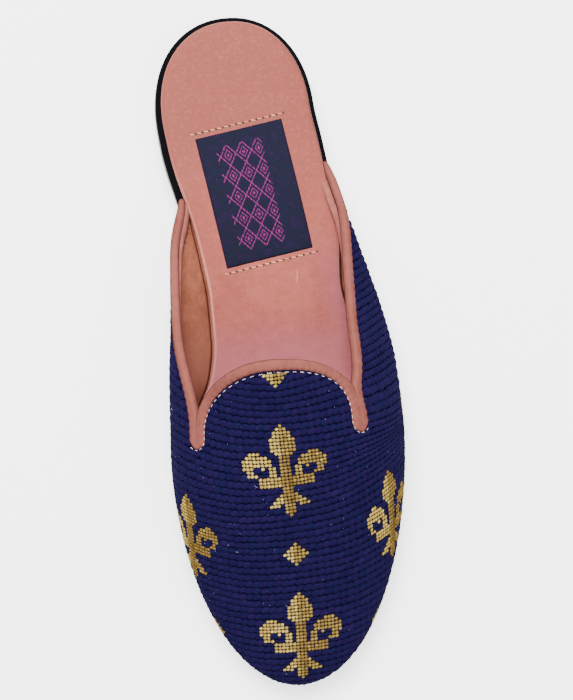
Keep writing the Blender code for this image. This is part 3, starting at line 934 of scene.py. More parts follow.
def wool_paint(name, stops, deep, ended, shade=0.85, casts=()):
    """Wool yarn: each stitch has its own tone, twisted strands and flanks in shadow."""
    paint = Paint(name, Roughness=0.95, Specular_IOR_Level=0.02)
    lengthwise, around, tone = paint.yarn()
    place = paint.place()
    strand = paint.wave(around * 7.0 + lengthwise * 0.9, 1)
    fuzz = paint.noise(place, 2600.0, 3.0)
    drift = paint.noise(place, 70.0, 3.0)
    mixed = tone * 0.66 + drift * 0.20 + fuzz * 0.14
    color = paint.ramp(mixed, *stops)
    for turn, cast in enumerate(casts):
        turned = paint.stretched(place, (1, 1, 1), (0.7 * turn, 0.4, 1.1 * turn))
        spots = paint.noise(turned, 420.0, 2.0)
        color = paint.mix(paint.band(spots, 0.50, 0.72) * 0.75, color, cast)
    flank = paint.band((around - 0.5).size(), 0.10, 0.25)
    ends = paint.band(lengthwise.size(), 0.60, 1.0) * ended
    # Painted shade: the grooves between the strands, then the flanks and the sunk ends, go to the
    # deep colour.
    color = paint.mix((1 - strand) * 0.30, color, deep)
    color = paint.mix((flank.most(ends)) * shade, color, deep)
    return paint.finish(((strand, 0.35, 0.12 * MM), (fuzz, 0.5, 0.15 * MM)), Base_Color=color)


def leather_paint(
    name, base, deep, pale, grain=(0.12, 0.45, 0.06), fore=None, rim=None, crown=0.0, cast=None
):
    """Fine-grained leather with clouds of colour, pores and creases.

    grain holds the depth of the pores, the roughness and the specular level; fore is a paler colour
    to the toe, painted light against the shade inside the upper. rim is the colour painted down the
    flanks by how far they turn from level, painted shade on the binding and a painted highlight on
    the insole, how much of it, and where it starts and is full, from 0 on level leather to 1 on
    upright; crown is how much paler the level leather is painted, a painted highlight. cast, which
    goes with rim, holds the insole's marks and its painted light and shade, laid on below.
    """
    bump, rough, shine = grain
    paint = Paint(name, Specular_IOR_Level=shine)
    place = paint.place()
    clouds = paint.noise(place, 38.0, 3.0, 0.6)
    mottle = paint.noise(place, 260.0, 3.0, 0.6)
    speckle = paint.noise(place, 760.0, 3.0, 0.7)
    pores = paint.cells(place, 900.0)
    creases = paint.noise(paint.stretched(place, (1.0, 0.28, 1.0)), 210.0, 4.0, 0.65)
    bumps = [(pores, bump, 0.10 * MM), (creases, bump * 1.8, 0.30 * MM), (clouds, 0.05, 1.0 * MM)]
    tone = clouds * 0.50 + mottle * 0.30 + speckle * 0.20
    color = paint.ramp(tone, (0.34, deep), (0.50, base), (0.66, pale))
    # The creases are painted darker: painted shade in their folds.
    color = paint.mix(paint.band(creases, 0.60, 0.75) * 0.25, color, deep)
    # Paler towards the toe: painted light against the shade inside the upper.
    if fore:
        color = paint.mix(paint.band(paint.parts(place)[1], 25 * MM, -12 * MM) * 0.40, color, fore)
    # Painted light by how far the leather turns from level: crown paints level leather paler, a
    # painted highlight, and rim paints the flanks, painted shade on the binding and a painted
    # highlight on the insole's edge.
    if rim:
        edge, share, start, full = rim
        turned = 1 - paint.parts(paint.node("TexCoord", {}, out=1))[2].size()
        color = paint.mix(paint.band(turned, 0.30, 0.0) * crown, color, pale)
        color = paint.mix(paint.band(turned, start, full) * share, color, edge)
    # The insole's marks, with its painted light and shade.
    if cast:
        fields = (place, clouds, speckle, turned)
        color, more = insole_marks_and_painted_light(paint, color, fields, deep, pale, cast)
        bumps += more
    return paint.finish(bumps, Base_Color=color, Roughness=mottle * 0.16 + (rough - 0.08))


def insole_marks_and_painted_light(paint, color, fields, deep, pale, cast):
    """Marks and painted light on the insole: its colour with the casts, and the bumps they add.

    The outer side of the forepart and the leather near the throat are painted a paler lilac,
    painted light; the heel half is painted darker and the outer flank is shaded, painted shade;
    the leather is rumpled before the label, its rumples painted darker as painted shade in their
    folds; and it has one scratch and one pressed line.
    """
    place, clouds, speckle, turned = fields
    x, y = paint.parts(place)[:2]
    rumpled = paint.stretched(place, (0.30, 1.0, 1.0), (0, 0, 0.12))
    rumpled = paint.noise(rumpled, 420.0, 4.0, 0.7)
    rumples = paint.band(rumpled, 0.52, 0.66) * paint.band(y, 48 * MM, 34 * MM)
    cool = paint.band(x + y * 0.2 + clouds * (7 * MM), 20 * MM, 43 * MM)
    cool = cool * paint.band(y, 52 * MM, 8 * MM)
    scratch = paint.band((x - y * 0.1 - 6.7 * MM).size(), 0.32 * MM, 0.12 * MM)
    scratch = scratch * paint.band((y - 28.5 * MM).size(), 2.9 * MM, 2.2 * MM)
    flank = paint.band(turned, 0.10, 0.35) * paint.band(x, 4 * MM, 16 * MM)
    line = paint.band((y - cast["pressed"]).size(), 0.0, 0.7 * MM)
    # Lilac is painted light; the darker heel, the darker rumples and the flank are painted shade.
    layers = (
        (cool.most(paint.band(y, 20 * MM, -5 * MM) * 0.5), cast["lilac"]),
        (paint.band(y, 30 * MM, 90 * MM) * 0.9, cast["painted_heel_shade"]),
        (rumples * 0.30, deep),
        (paint.band(speckle, 0.50, 0.66) * 0.35, pale),
        (scratch * 0.6, cast["scratched"]),
        (flank * 0.85, cast["shaded"]),
        ((1 - line) * 0.06, deep),
    )
    for share, other in layers:
        color = paint.mix(share, color, other)
    return color, [(line, 0.10, 0.2 * MM), (rumpled, 0.22, 0.30 * MM)]


def edge_paint(name, coat, dull):
    """Black wax over the sole's cut edge, with streaks and rubbed scuffs here and there."""
    paint = Paint(name, Coat_Weight=coat, Coat_Roughness=0.12, Specular_IOR_Level=0.10 * (1 - dull))
    place = paint.place()
    layers = paint.wave(paint.parts(place)[2], 2.4 * MM)
    streaks = paint.noise(paint.stretched(place, (1.0, 1.0, 9.0)), 160.0, 4.0, 0.6)
    scuffs = paint.noise(paint.stretched(place, (1.0, 3.0, 1.0)), 420.0, 4.0, 0.7)
    worn = paint.band(scuffs, 0.62, 0.78)
    color = paint.mix(streaks * 0.5, (0.0016, 0.0015, 0.0022), (0.0045, 0.0040, 0.0055))
    color = paint.mix(worn * 0.35, color, (0.020, 0.013, 0.011))
    roughness = worn * 0.3 + streaks * 0.12 + 0.22 + 0.4 * dull
    bumps = ((streaks, 0.15, 0.15 * MM), (layers, 0.04, 0.1 * MM), (scuffs, 0.12, 0.1 * MM))
    return paint.finish(bumps, Base_Color=color, Roughness=roughness)


def tread_paint():
    """The underside's leather: clouds of brown, with darker scratches where it treads."""
    paint = Paint("tread_leather", Specular_IOR_Level=0.35)
    place = paint.place()
    clouds = paint.noise(place, 30.0, 4.0, 0.6)
    scratch = paint.noise(paint.stretched(place, (2.5, 0.25, 1.0), (0, 0, 0.3)), 330.0, 5.0, 0.7)
    tread = paint.band(paint.parts(place)[2], 1.6 * MM, 0.0)
    color = paint.ramp(clouds, (0.3, (0.20, 0.105, 0.055)), (0.7, (0.36, 0.21, 0.12)))
    color = paint.mix(tread * paint.band(scratch, 0.5, 0.7) * 0.6, color, (0.12, 0.075, 0.05))
    bumps = ((scratch, 0.25, 0.2 * MM), (clouds, 0.1, 0.6 * MM))
    return paint.finish(bumps, Base_Color=color, Roughness=scratch * 0.2 + 0.5)


def rubber_paint():
    """The top piece: matt black rubber with a fine pebble."""
    paint = Paint("top_piece_rubber", Specular_IOR_Level=0.3)
    place = paint.place()
    pebble = paint.cells(place, 1500.0)
    dust = paint.noise(place, 120.0, 4.0, 0.7)
    dusty = paint.band(dust, 0.5, 0.8) * 0.5
    color = paint.mix(dusty, (0.016, 0.016, 0.017), (0.075, 0.070, 0.065))
    bumps = ((pebble, 0.2, 0.15 * MM),)
    return paint.finish(bumps, Base_Color=color, Roughness=dust * 0.2 + 0.65)


def backing_paint():
    """The canvas under the stitches, a dark double-thread weave."""
    paint = Paint("canvas_backing", Roughness=0.95, Specular_IOR_Level=0.0)
    place = paint.place()
    speck = paint.noise(place, 900.0, 2.0)
    color = paint.mix(speck, (0.0024, 0.0020, 0.0160), (0.0036, 0.0030, 0.0210))
    return paint.finish(((speck, 0.5, 0.2 * MM),), Base_Color=color)


def thread_paint(name, dark, light):
    """Waxed sewing thread with a fine twist."""
    paint = Paint(name, Roughness=0.5, Specular_IOR_Level=0.4)
    lengthwise, around, tone = paint.yarn()
    twist = paint.wave(around * 2.0 + lengthwise * 2.5, 1)
    color = paint.mix(twist * 0.6 + tone * 0.4, dark, light)
    return paint.finish(((twist, 0.5, 0.1 * MM),), Base_Color=color)


# ---------------------------------------------------------------- camera, floor and light


def stage():
    """A pale floor and soft light from above."""
    clear_selection()
    bpy.ops.mesh.primitive_plane_add(size=6)
    floor = bpy.context.object
    floor.name = "floor"
    paint = Paint("pale_floor", Roughness=0.9, Specular_IOR_Level=0.1, Emission_Strength=1.6)
    grey = paint.noise(paint.place(), 3.0)
    color = paint.mix(grey, (0.86, 0.86, 0.87), (0.90, 0.90, 0.90))
    floor.data.materials.append(paint.finish(Base_Color=color))
    sky = bpy.context.scene.world or bpy.data.worlds.new("studio")
    bpy.context.scene.world = sky
    sky.use_nodes = True
    background = sky.node_tree.nodes["Background"]
    background.inputs["Color"].default_value = (0.95, 0.97, 1.0, 1)
    background.inputs["Strength"].default_value = 0.9
    lamps = (("key", (-0.16, 0.46, 1.04), 0.5, 41.0), ("fill", (0.45, -0.35, 1.10), 1.0, 10.0))
    for name, place, size, power in lamps:
        data = bpy.data.lights.new(name, "AREA")
        data.size = size
        data.energy = power
        lamp = bpy.data.objects.new(name, data)
        lamp.location = place
        lamp.rotation_euler = (-Vector(place)).to_track_quat("-Z", "Y").to_euler()
        bpy.context.scene.collection.objects.link(lamp)


CAMERA_HEIGHT = 0.700
CAMERA_ASIDE = -0.0542
CAMERA_BACK = 0.0046
CAMERA_ROLL = math.radians(-5.0)
FRAME_HEIGHT = 0.2829
AIM = Vector((0.0022, -0.0002, 0.022))


def camera():
    """Look down from the inner side of the shoe, with the toe towards the foot of the frame."""
    data = bpy.data.cameras.new("camera")
    data.sensor_fit = "VERTICAL"
    data.sensor_height = 24.0
    place = Vector((CAMERA_ASIDE, CAMERA_BACK, CAMERA_HEIGHT))
    data.lens = data.sensor_height * (place - AIM * Vector((1, 1, 0))).length / FRAME_HEIGHT
    data.clip_start = 0.01
    eye = bpy.data.objects.new("camera", data)
    look = (AIM - place).normalized()
    up = Vector((-math.sin(CAMERA_ROLL), math.cos(CAMERA_ROLL), 0))
    right = look.cross(up).normalized()
    up = right.cross(look)
    eye.location = place
    eye.rotation_euler = Matrix((right, up, -look)).transposed().to_euler()
    bpy.context.scene.collection.objects.link(eye)
    bpy.context.scene.camera = eye


# ---------------------------------------------------------------- the sole and the heel


def outline(inset, count, front=None):
    """Inner and outer halves of the sole's outline at an inset, as rows (along, across)."""
    end, turn = (LENGTH - TOE_UNDERCUT - inset, math.pi) if front is None else (front, math.pi / 2)
    reach = (end - inset) / (1 - math.cos(turn))
    places = inset + reach * (1 - np.cos(np.linspace(0, turn, count)))
    return [np.array([(a, sole_edge(side, a, inset)) for a in places]) for side in TOE_REACH]


def swollen(halves, bottom, top):
    """Round the inner side's edge outwards from the heel to the waist."""
    along, height = halves[0][:, 0], halves[0][:, 2]
    share = np.clip((height - bottom(along)) / (top(along) - bottom(along)), 0, 1)
    reach = eased((along - SWELL_BACK[0]) / (SWELL_BACK[1] - SWELL_BACK[0]))
    reach = reach * eased((SWELL_FRONT[0] - along) / (SWELL_FRONT[0] - SWELL_FRONT[1]))
    halves[0][:, 1] -= SOLE_SWELL * reach * np.sin(math.pi * share) ** 0.8


def strips(sections, under, over):
    """Lines from heel to toe round a body: out under it, up, over the top and back under."""

    def blends(halves, shares):
        return [halves[0] * (1 - share) + halves[1] * share for share in shares]

    lines = blends(sections[0], np.linspace(0.5, 0, under, endpoint=False))
    lines += [inner for inner, outer in sections]
    lines += blends(sections[-1], np.linspace(0, 1, over + 1)[1:-1])
    lines += [outer for inner, outer in reversed(sections)]
    lines += blends(sections[0], np.linspace(1, 0.5, under + 1)[1:])
    return np.stack(lines, axis=1)


def slab(name, rim, centre, count, front=None, hollow=0.0, swell=False):
    """A closed body round the sole's outline: rim lists (inset, height function) upwards.

    A body cut off at its front has its breast hollowed, and the sole's inner edge may be swollen.
    """
    sections = []
    for inset, height in rim:
        halves = outline(inset, count, front)
        sections.append([np.column_stack((half, height(half[:, 0]))) for half in halves])
        if swell:
            swollen(sections[-1], rim[0][1], rim[-1][1])
    table = strips(sections, centre, 2 * centre)
    if hollow:
        low, high = table[..., 1].min(axis=1)[:, None], table[..., 1].max(axis=1)[:, None]
        width = (table[..., 1] - low) / np.maximum(high - low, MM)
        table[..., 0] -= hollow * 4 * width * (1 - width) * (table[..., 0] / front) ** 8
    return quilted(name, world(table), capped=front is not None)


def rim_heights(low, high, edge, corner, steps=5, levels=0):
    """A section's rim from the underside over rounded corners to the upper face."""
    turns = np.linspace(0, math.pi / 2, steps)
    under = [(1 - math.sin(turn), lifted(low, corner * (1 - math.cos(turn)))) for turn in turns]
    side = [(0, between(low, high, level / (levels + 1))) for level in range(1, levels + 1)]
    over = [(1 - math.cos(turn), lifted(high, corner * (math.sin(turn) - 1))) for turn in turns]
    rim = [(3, low)] + under + side + over + [(3, high)]
    return [(edge + corner * share, height) for share, height in rim]


def between(low, high, share):
    """A height function part of the way from one to another."""
    return lambda along: low(along) * (1 - share) + high(along) * share


def lifted(height, rise):
    """A height function raised by a fixed amount."""
    return lambda along: height(along) + rise


def outsole(paint, tread, inside, dull):
    """One thickness of leather, bent to its arch and toe spring, left bare inside the upper."""
    rim = rim_heights(tread_height, seat_height, 0.0, SOLE_CORNER, levels=7)
    piece = slab("outsole_leather", rim, 5, 150, swell=True)
    settle(piece, paint, "sole_leather", "outsole")
    for other in (tread, inside, dull):
        piece.data.materials.append(other)
    up = numbers(piece.data.polygons, "normal")[:, 2]
    along = MIDDLE_ALONG - numbers(piece.data.polygons, "center")[:, 1]
    choice = np.select((up < -FACE_TURN, up <= FACE_TURN, along > BLACK_SEAT), (1, 0, 2), 3)
    piece.data.polygons.foreach_set("material_index", choice.astype(np.int32))


def flat(height):
    """A height function that is the same all along."""
    return lambda along: np.full(np.shape(along), height)


def heel(paint, rubber):
    """The leather lifts, built in two layers with a fine line between them, and the top piece."""
    low, high = TOP_PIECE_THICKNESS + GAP, HEEL_HEIGHT - GAP
    middle, line = (low + high) / 2, 0.05 * MM
    leather, top_piece = (paint, "sole_leather"), (rubber, "top_piece_rubber", "heel_top_piece")
    layers = (
        ("heel_lift_upper", middle + line, high, (*leather, "heel_lifts")),
        ("heel_lift_lower", low, middle - line, leather),
        ("heel_top_piece_rubber", 0.0, TOP_PIECE_THICKNESS, top_piece),
    )
    for name, bottom, top, finish in layers:
        inset = HEEL_INSET + HEEL_TAPER * (1 - (bottom + top) / 2 / HEEL_HEIGHT)
        rim = rim_heights(flat(bottom), flat(top), inset, 0.25 * MM, 3)
        settle(slab(name, rim, 4, 46, front=HEEL_BREAST, hollow=BREAST_HOLLOW), *finish)


# ---------------------------------------------------------------- the insole and its label


def insole_top(along, across):
    """Height of the insole's face, pressed in a little under the heel and the ball of the foot."""
    heel = bell(along, 0.13 * LENGTH, 26 * MM) * bell(across, -3 * MM, 19 * MM)
    ball = bell(along, 0.66 * LENGTH, 30 * MM) * bell(across, 4 * MM, 26 * MM)
    return seat_height(along) + GAP + INSOLE_THICKNESS - 0.5 * MM * heel - 0.6 * MM * ball


def insole(paint):
    """The padded insole, its leather wrapped round a soft edge and flared on the outer side."""
    turns = np.linspace(0, math.pi, 170)
    soft = INSOLE_SOFTNESS
    side = INSOLE_THICKNESS - soft
    rim = [(3.0 * MM, 0.0), (0.3 * MM, 0.0), (0.0, 0.25 * MM), (0.0, side * 0.5), (0.0, side)]
    for turn in np.linspace(0, math.pi / 2, 7)[1:]:
        rim.append((soft * (1 - math.cos(turn)), side + soft * math.sin(turn)))
    rim += [(soft + extra * MM, INSOLE_THICKNESS) for extra in (1.5, 3.5)]
    sections = []
    for inset, rise in rim:
        flare = INSOLE_FLARE * (1 - min(1.0, rise / side)) if inset < 1 * MM else 0.0
        start = INSOLE_INSET_HEEL + inset
        end = LENGTH - TOE_UNDERCUT - INSOLE_INSET_FORE["inner"] - inset
        places = start + (end - start) * (1 - np.cos(turns)) / 2
        halves = []
        for name, spread in (("inner", 0.0), ("outer", flare)):
            fore = eased((places - INSET_CHANGE[name]) / INSET_CHANGE_REACH)
            more = INSOLE_INSET_FORE[name] - INSOLE_INSET_HEEL - spread
            insets = INSOLE_INSET_HEEL + more * fore + inset
            across = [sole_edge(name, *place) for place in zip(places, insets)]
            halves.append(np.column_stack((places, across, np.full(len(places), rise))))
        sections.append(halves)
    table = strips(sections, 4, 36)
    along, across, rise = np.moveaxis(table, -1, 0)
    base = seat_height(along) + GAP
    table[..., 2] = base + (insole_top(along, across) - base) * rise / INSOLE_THICKNESS
    piece = settle(quilted("padded_insole", world(table)), paint, "insole_leather", "insole")


LABEL_WIDTH = 34.8 * MM
LABEL_LENGTH = 51.8 * MM
LABEL_TURN = math.radians(9.2)
LABEL_MIDDLE = (70.2 * MM, 1.9 * MM)


def on_insole(right, forward, rise):
    """Points over the insole, from places on the label: to its right and towards the toe."""
    along = LABEL_MIDDLE[0] + forward * math.cos(LABEL_TURN) - right * math.sin(LABEL_TURN)
    across = LABEL_MIDDLE[1] + right * math.cos(LABEL_TURN) + forward * math.sin(LABEL_TURN)
    return world(np.stack((along, across, insole_top(along, across) + rise), axis=-1))


def label_paint():
    """A woven patch: dark ribs with a trellis of small lozenges in bright thread."""
    paint = Paint("woven_label", Roughness=0.8, Specular_IOR_Level=0.1)
    right, forward = paint.yarn()[:2]
    place = paint.place()
    ribs = paint.wave(forward, 0.55 * MM)
    warp = paint.wave(right, 0.7 * MM)
    wobble = paint.noise(place, 700.0, 2.0) * (0.3 * MM)
    tile = 6.2 * MM
    u = (right + wobble).wrapped(tile)
    v = (forward + wobble).wrapped(tile * 1.35)
    trellis = 1 - paint.band(((u + v) - 1.0).size(), 0.05, 0.13)
    seed = 1 - paint.band(u + v, 0.16, 0.26)
    ring = 1 - paint.band(((u + v) - 0.50).size(), 0.04, 0.11)
    inside = paint.band((right + 1.5 * MM).size(), 9.3 * MM, 9.1 * MM)
    inside = inside * paint.band(forward.size(), 20.9 * MM, 20.7 * MM)
    figure = trellis.most(seed).most(ring) * inside
    broken = paint.noise(place, 1500.0, 2.0)
    loops = paint.wave(right, 0.95 * MM)
    thread = paint.mix(broken * 0.4 + loops * 0.6, (0.040, 0.005, 0.034), (0.190, 0.018, 0.120))
    ground = paint.mix(ribs * 0.5 + warp * 0.3, (0.0026, 0.0024, 0.0080), (0.0076, 0.0066, 0.0210))
    blots = paint.noise(place, 330.0, 3.0, 0.7)
    ground = paint.mix(paint.band(blots, 0.52, 0.62) * 0.7, ground, (0.0085, 0.0036, 0.0230))
    ground = paint.mix(paint.band(blots, 0.46, 0.36) * 0.7, ground, (0.0026, 0.0060, 0.0180))
    color = paint.mix(figure * paint.band(broken, 0.30, 0.42), ground, thread)
    bumps = ((ribs, 0.35, 0.12 * MM), (warp, 0.2, 0.08 * MM), (figure, 0.5, 0.2 * MM))
    return paint.finish(bumps, Base_Color=color)


def label(paint):
    """The woven patch, glued to the insole with its cut ends turned under."""
    half_width, half_length, hem = LABEL_WIDTH / 2, LABEL_LENGTH / 2, 0.5 * MM
    columns, rows = np.linspace(-1, 1, 45), np.linspace(-1, 1, 67)
    right, forward = np.meshgrid(columns * half_width, rows * half_length)
    edge = np.maximum(np.abs(right) - (half_width - hem), np.abs(forward) - (half_length - hem))
    rise = 0.42 * MM - 0.2 * MM * np.clip(edge / hem, 0, 1) ** 2
    piece = quilted("woven_label", on_insole(right, forward, rise), close=False)
    thicken(piece, 0.45 * MM)
    points = numbers(piece.data.vertices, "co")
    along = MIDDLE_ALONG - points[:, 1] - LABEL_MIDDLE[0]
    across = points[:, 0] + MIDDLE_ACROSS - LABEL_MIDDLE[1]
    cosine, sine = math.cos(LABEL_TURN), math.sin(LABEL_TURN)
    give_yarn(piece.data, across * cosine - along * sine, along * cosine + across * sine, 0)
    settle(piece, paint, "label_weave")


def dashes(name, middles, tangents, normals, length, radius, paint, seed):
    """A row of short sewn stitches, each sunk at both ends; they may differ in length."""
    rng = np.random.default_rng(seed)
    shape, faces, turn = stitch_shape(8, 6)
    count = len(middles)
    across = unit(np.cross(normals, tangents))
    size = 1 + rng.normal(0, 0.06, (count, 1))
    direction = unit(tangents + across * rng.normal(0, 0.05, (count, 1)))
    sink = shape[:, 0] ** 8 * radius * 1.2
    length = np.broadcast_to(length, count)[:, None]
    points = (
        middles[:, None]
        + direction[:, None] * (shape[None, :, :1] * (length / 2 * size)[:, None])
        + across[:, None] * (shape[None, :, 1:2] * radius)
        + normals[:, None] * ((shape[:, 2] * radius * 0.8 - sink)[None, :, None])
    )
    piece = joined(name, points, faces, shape[:, 0], turn, rng.random(count)[:, None])
    settle(piece, paint, "thread")


def label_threads(paint, shade):
    """The label's end stitches, with dark dashes between them: painted shade in the needle's holes.
    """
    pitch = 2.72 * MM
    width = LABEL_WIDTH / 2 + 0.6 * MM
    end = LABEL_LENGTH / 2 + 2.0 * MM
    places = np.arange(-width, width + pitch / 2, pitch)
    right, forward = np.tile(places, 2), np.repeat((-end, end), len(places))
    middles = on_insole(right, forward, 0.22 * MM)
    ahead = unit(on_insole(right + 0.5 * MM, forward, 0.22 * MM) - middles)
    tilted = unit(ahead + 0.30 * np.array((math.sin(LABEL_TURN), -math.cos(LABEL_TURN), 0)))
    up = np.tile((0.0, 0.0, 1.0), (len(middles), 1))
    holes = on_insole(right + pitch / 2, forward, 0.08 * MM)
    dashes("label_thread", middles, tilted, up, 2.0 * MM, 0.27 * MM, paint, 5)
    # The holes are dark dashes sunk in the insole: painted shade.
    dashes("label_thread_hole_shade", holes, tilted, up, 0.85 * MM, 0.38 * MM, shade, 6)


# ---------------------------------------------------------------- the upper


def shell(name, height_out, height_in, *finish, columns=121, step=1.6 * MM):
    """A layer of the upper between two depths, cut off under the binding."""
    reaches = np.append(np.arange(SHELL_BACK, REACH_END, step), REACH_END)
    shares = np.linspace(0, 2 * SHARE_STEPS, columns)
    grid_columns, grid_rows = np.meshgrid(shares, LAST.row(reaches))
    piece = quilted(name, LAST.place(grid_rows, grid_columns, height_out), close=False)
    surface = LAST.place(grid_rows, grid_columns)
    away = LAST.from_topline(grid_rows, grid_columns, surface).reshape(-1)
    corners = np.array([face.vertices[:] for face in piece.data.polygons])
    drop_faces(piece, away[corners].min(axis=1) < -UNDER_BINDING)
    pick(piece)
    bpy.ops.object.mode_set(mode="EDIT")
    bpy.ops.mesh.select_all(action="SELECT")
    bpy.ops.mesh.remove_doubles(threshold=WELD)
    bpy.ops.object.mode_set(mode="OBJECT")
    thicken(piece, height_out - height_in)
    bpy.ops.object.shade_smooth()
    settle(piece, *finish)


def figures():
    """The charted cells of every figure: place on the canvas, and the tone of its stitch."""
    cells = {}
    slim = [line[:9] + line[10:] for line in FLEUR]
    short = slim[:5] + slim[6:19] + slim[20:]
    plan = [(0, -53, LOZENGE), (0, -25, FLEUR), (0, 0, LOZENGE), (0, 25, FLEUR)]
    plan += [(-26, 26, LOZENGE), (26, 26, LOZENGE), (-32, -2, slim), (32, -1, short)]
    plan += [(-66, -27, slim), (60, -32, slim)]
    for column, row, chart in plan:
        top = row - len(chart) // 2
        flower = len(chart) > len(LOZENGE)
        places = [(down, aside) for down in range(len(chart)) for aside in range(len(chart[down]))]
        for (down, aside), side in itertools.product(places, (-1, 1)):
            if chart[down][aside] != "#":
                continue
            tone = 0.24 if side * aside < 0 else 0.60
            if aside <= 1 and flower and down > 8:
                tone = 0.72 + 0.12 * side * aside
            tone += 0.10 if flower and 15 <= down <= 17 else 0.0
            # Figures off the middle are a darker tone: painted shade for the less light on the
            # sides.
            tone += 0.12 if column else 0.0
            cells[(column + side * aside, top + down)] = tone
    return cells


def stitches(name, across, along, tone, cell, plump, lean, shape, paint, seed, lift=0.05 * MM):
    """Tent stitches on the canvas: across and along give their middles in small stitches."""
    rng = np.random.default_rng(seed)
    body, faces, turn = shape
    count = len(across)

    def spread(amount):
        return rng.normal(0, amount, (count, 1))

    long, wide, high = plump
    size = 1 + spread(0.05)
    tilt = lean + spread(0.05)
    room = CANVAS.field(CANVAS.to_topline, across, along)
    size = size * np.clip((room[:, None] - 0.3 * MM) / (long * PETIT), 0.35, 1)
    x = body[None, :, 0] * long * size
    y = body[None, :, 1] * wide * (1 + spread(0.04))
    canvas_x = across[:, None] + (x * np.cos(tilt) - y * np.sin(tilt)) + spread(0.035 * cell)
    canvas_y = along[:, None] - (x * np.sin(tilt) + y * np.cos(tilt)) + spread(0.035 * cell)
    dive = np.abs(body[None, :, 0]) ** 3 * 0.42 * high
    height = body[None, :, 2] * high * (1 + spread(0.05)) - dive + spread(0.05 * high) + lift
    near = CANVAS.field(CANVAS.to_topline, canvas_x, canvas_y)
    edge = CANVAS.field(CANVAS.to_feather, canvas_x, canvas_y)
    height = height - 1.1 * MM * (1 - eased((near - 1.4 * MM) / (2.0 * MM)))
    height = height - 0.8 * MM * (1 - eased(edge / (1.8 * MM)))
    points = CANVAS.lay(canvas_x, canvas_y, height)
    tones = np.asarray(tone)[:, None] + spread(0.10)
    settle(joined(name, points, faces, body[:, 0], turn, tones), paint, "wool")


def needlework(navy, gold):
    """Every stitch of the upper: large ground stitches, and small ones in and round the figures."""
    chart = figures()
    first = int(CANVAS.first + 0.5)
    across = np.arange(-CANVAS.side_cells + 1, CANVAS.side_cells - 1)
    along = np.arange(first + 1, first + len(CANVAS.points) - 2)
    ground, small, golden = [], [], []
    for j in along[along % 2 == 0]:
        for i in across[across % 2 == 0]:
            block = [(i + a, j + b) for b in (0, 1) for a in (0, 1)]
            if any(cell in chart for cell in block):
                for cell in block:
                    (golden if cell in chart else small).append((*cell, chart.get(cell, 0.5)))
            else:
                ground.append((i + 0.5, j + 0.5, 0.5))
    coarse, fine = stitch_shape(8, 6), stitch_shape(6, 5)
    kinds = (
        ("ground_stitches", ground, 2, (1.46, 1.00, 0.58 * MM), STITCH_LEAN, coarse, navy, 11),
        ("small_ground_stitches", small, 1, (0.72, 0.51, 0.46 * MM), STITCH_LEAN, fine, navy, 12),
        ("gold_stitches", golden, 1, (0.56, 0.50, 0.56 * MM), GOLD_LEAN, fine, gold, 13),
    )
    for name, cells, *rest in kinds:
        cells = np.array(cells, float)
        near = CANVAS.field(CANVAS.to_topline, cells[:, 0], cells[:, 1])
        edge = CANVAS.field(CANVAS.to_feather, cells[:, 0], cells[:, 1])
        stitches(name, *cells[(near > UNDER_BINDING) & (edge > 0.0)].T, *rest)


def lint(paint):
    """Pale hairs and specks of fibre caught in the wool, most of them beside the figures."""
    rng = np.random.default_rng(21)
    cells = np.array([cell for cell in figures() if abs(cell[0]) < 44], float)
    cells = cells[rng.integers(0, len(cells), 46)] + rng.normal(0, 1.6, (46, 2))
    loose = np.column_stack((rng.uniform(-38, 38, 90), rng.uniform(-46, 36, 90)))
    places = np.concatenate((cells, loose))
    near = CANVAS.field(CANVAS.to_topline, places[:, 0], places[:, 1])
    places = places[near > 2.5 * MM]
    turns = rng.uniform(0, math.pi, (len(places), 1))
    long = rng.choice((0.10, 0.16, 0.50), (len(places), 1), p=(0.55, 0.35, 0.10))
    size = (long, 0.055, 0.07 * MM)
    tones = np.full(len(places), 0.5)
    stitches("lint", *places.T, tones, 1, size, turns, stitch_shape(5, 4), paint, 22, lift=1.0 * MM)


def binding(paint):
    """The leather strip rolled over the top edge, a bead outside and in."""
    line = TOPLINE
    rng = np.random.default_rng(3)
    wobble = np.convolve(rng.normal(0, 1, len(line.lengths) + 40), np.hanning(21), "valid")
    wobble = wobble[: len(line.lengths)] / np.abs(wobble[: len(line.lengths)]).max()
    leg = 1 - eased((line.notch - NOTCH_LEG) / NOTCH_LEG)
    past_notch = line.lengths - line.lengths[line.feet[1]]
    plain = (BINDING_WIDTH + 0.75 * MM * leg) * line.size
    extra = (0.7 * MM + 1.1 * MM * bell(past_notch, -13 * MM, 9 * MM)) * line.size
    fork = 1.2 * MM * bell(past_notch, 9 * MM, 6 * MM) * line.size
    width = (plain + extra + fork) * (1 + 0.02 * wobble)
    thick = BINDING_THICKNESS * line.size
    rings = []
    for turn in np.linspace(0, 2 * math.pi, 25):
        a, b = (np.sign(part) * abs(part) ** 0.8 for part in (math.cos(turn), math.sin(turn)))
        pleats = np.cos(2 * math.pi * line.lengths / PLEAT)
        pucker = 1 - 0.09 * pleats * max(0.0, a) * max(0.0, b)
        side = line.right * (a * width / 2 * pucker + (fork - extra) / 2)[:, None]
        lift = line.normals * (b * thick / 2 * pucker - WALL / 2)[:, None]
        rings.append(line.points + side + lift)
    piece = quilted("rolled_binding", np.stack(rings, axis=1), capped=True)
    settle(piece, paint, "binding_leather", "binding")


def facing_width():
    """How far the facing goes down the lining: further along the wings than round the tab."""
    on_wing = np.ones(len(TOPLINE.lengths))
    on_wing[TOPLINE.feet[0] : TOPLINE.feet[1]] = 0
    wing = eased((TOPLINE.notch - 8 * MM) / (14 * MM)) * on_wing
    from_tip = np.minimum(TOPLINE.lengths, TOPLINE.lengths[-1] - TOPLINE.lengths)
    tail = 1 - eased((from_tip - 24 * MM) / (26 * MM))
    outer = np.arange(len(tail)) > TOPLINE.feet[1]
    tuck = np.where(outer, FACING_TUCK["outer"], FACING_TUCK["inner"])
    return (FACING_WIDTH + FACING_EXTRA * wing - tuck * tail) * TOPLINE.size


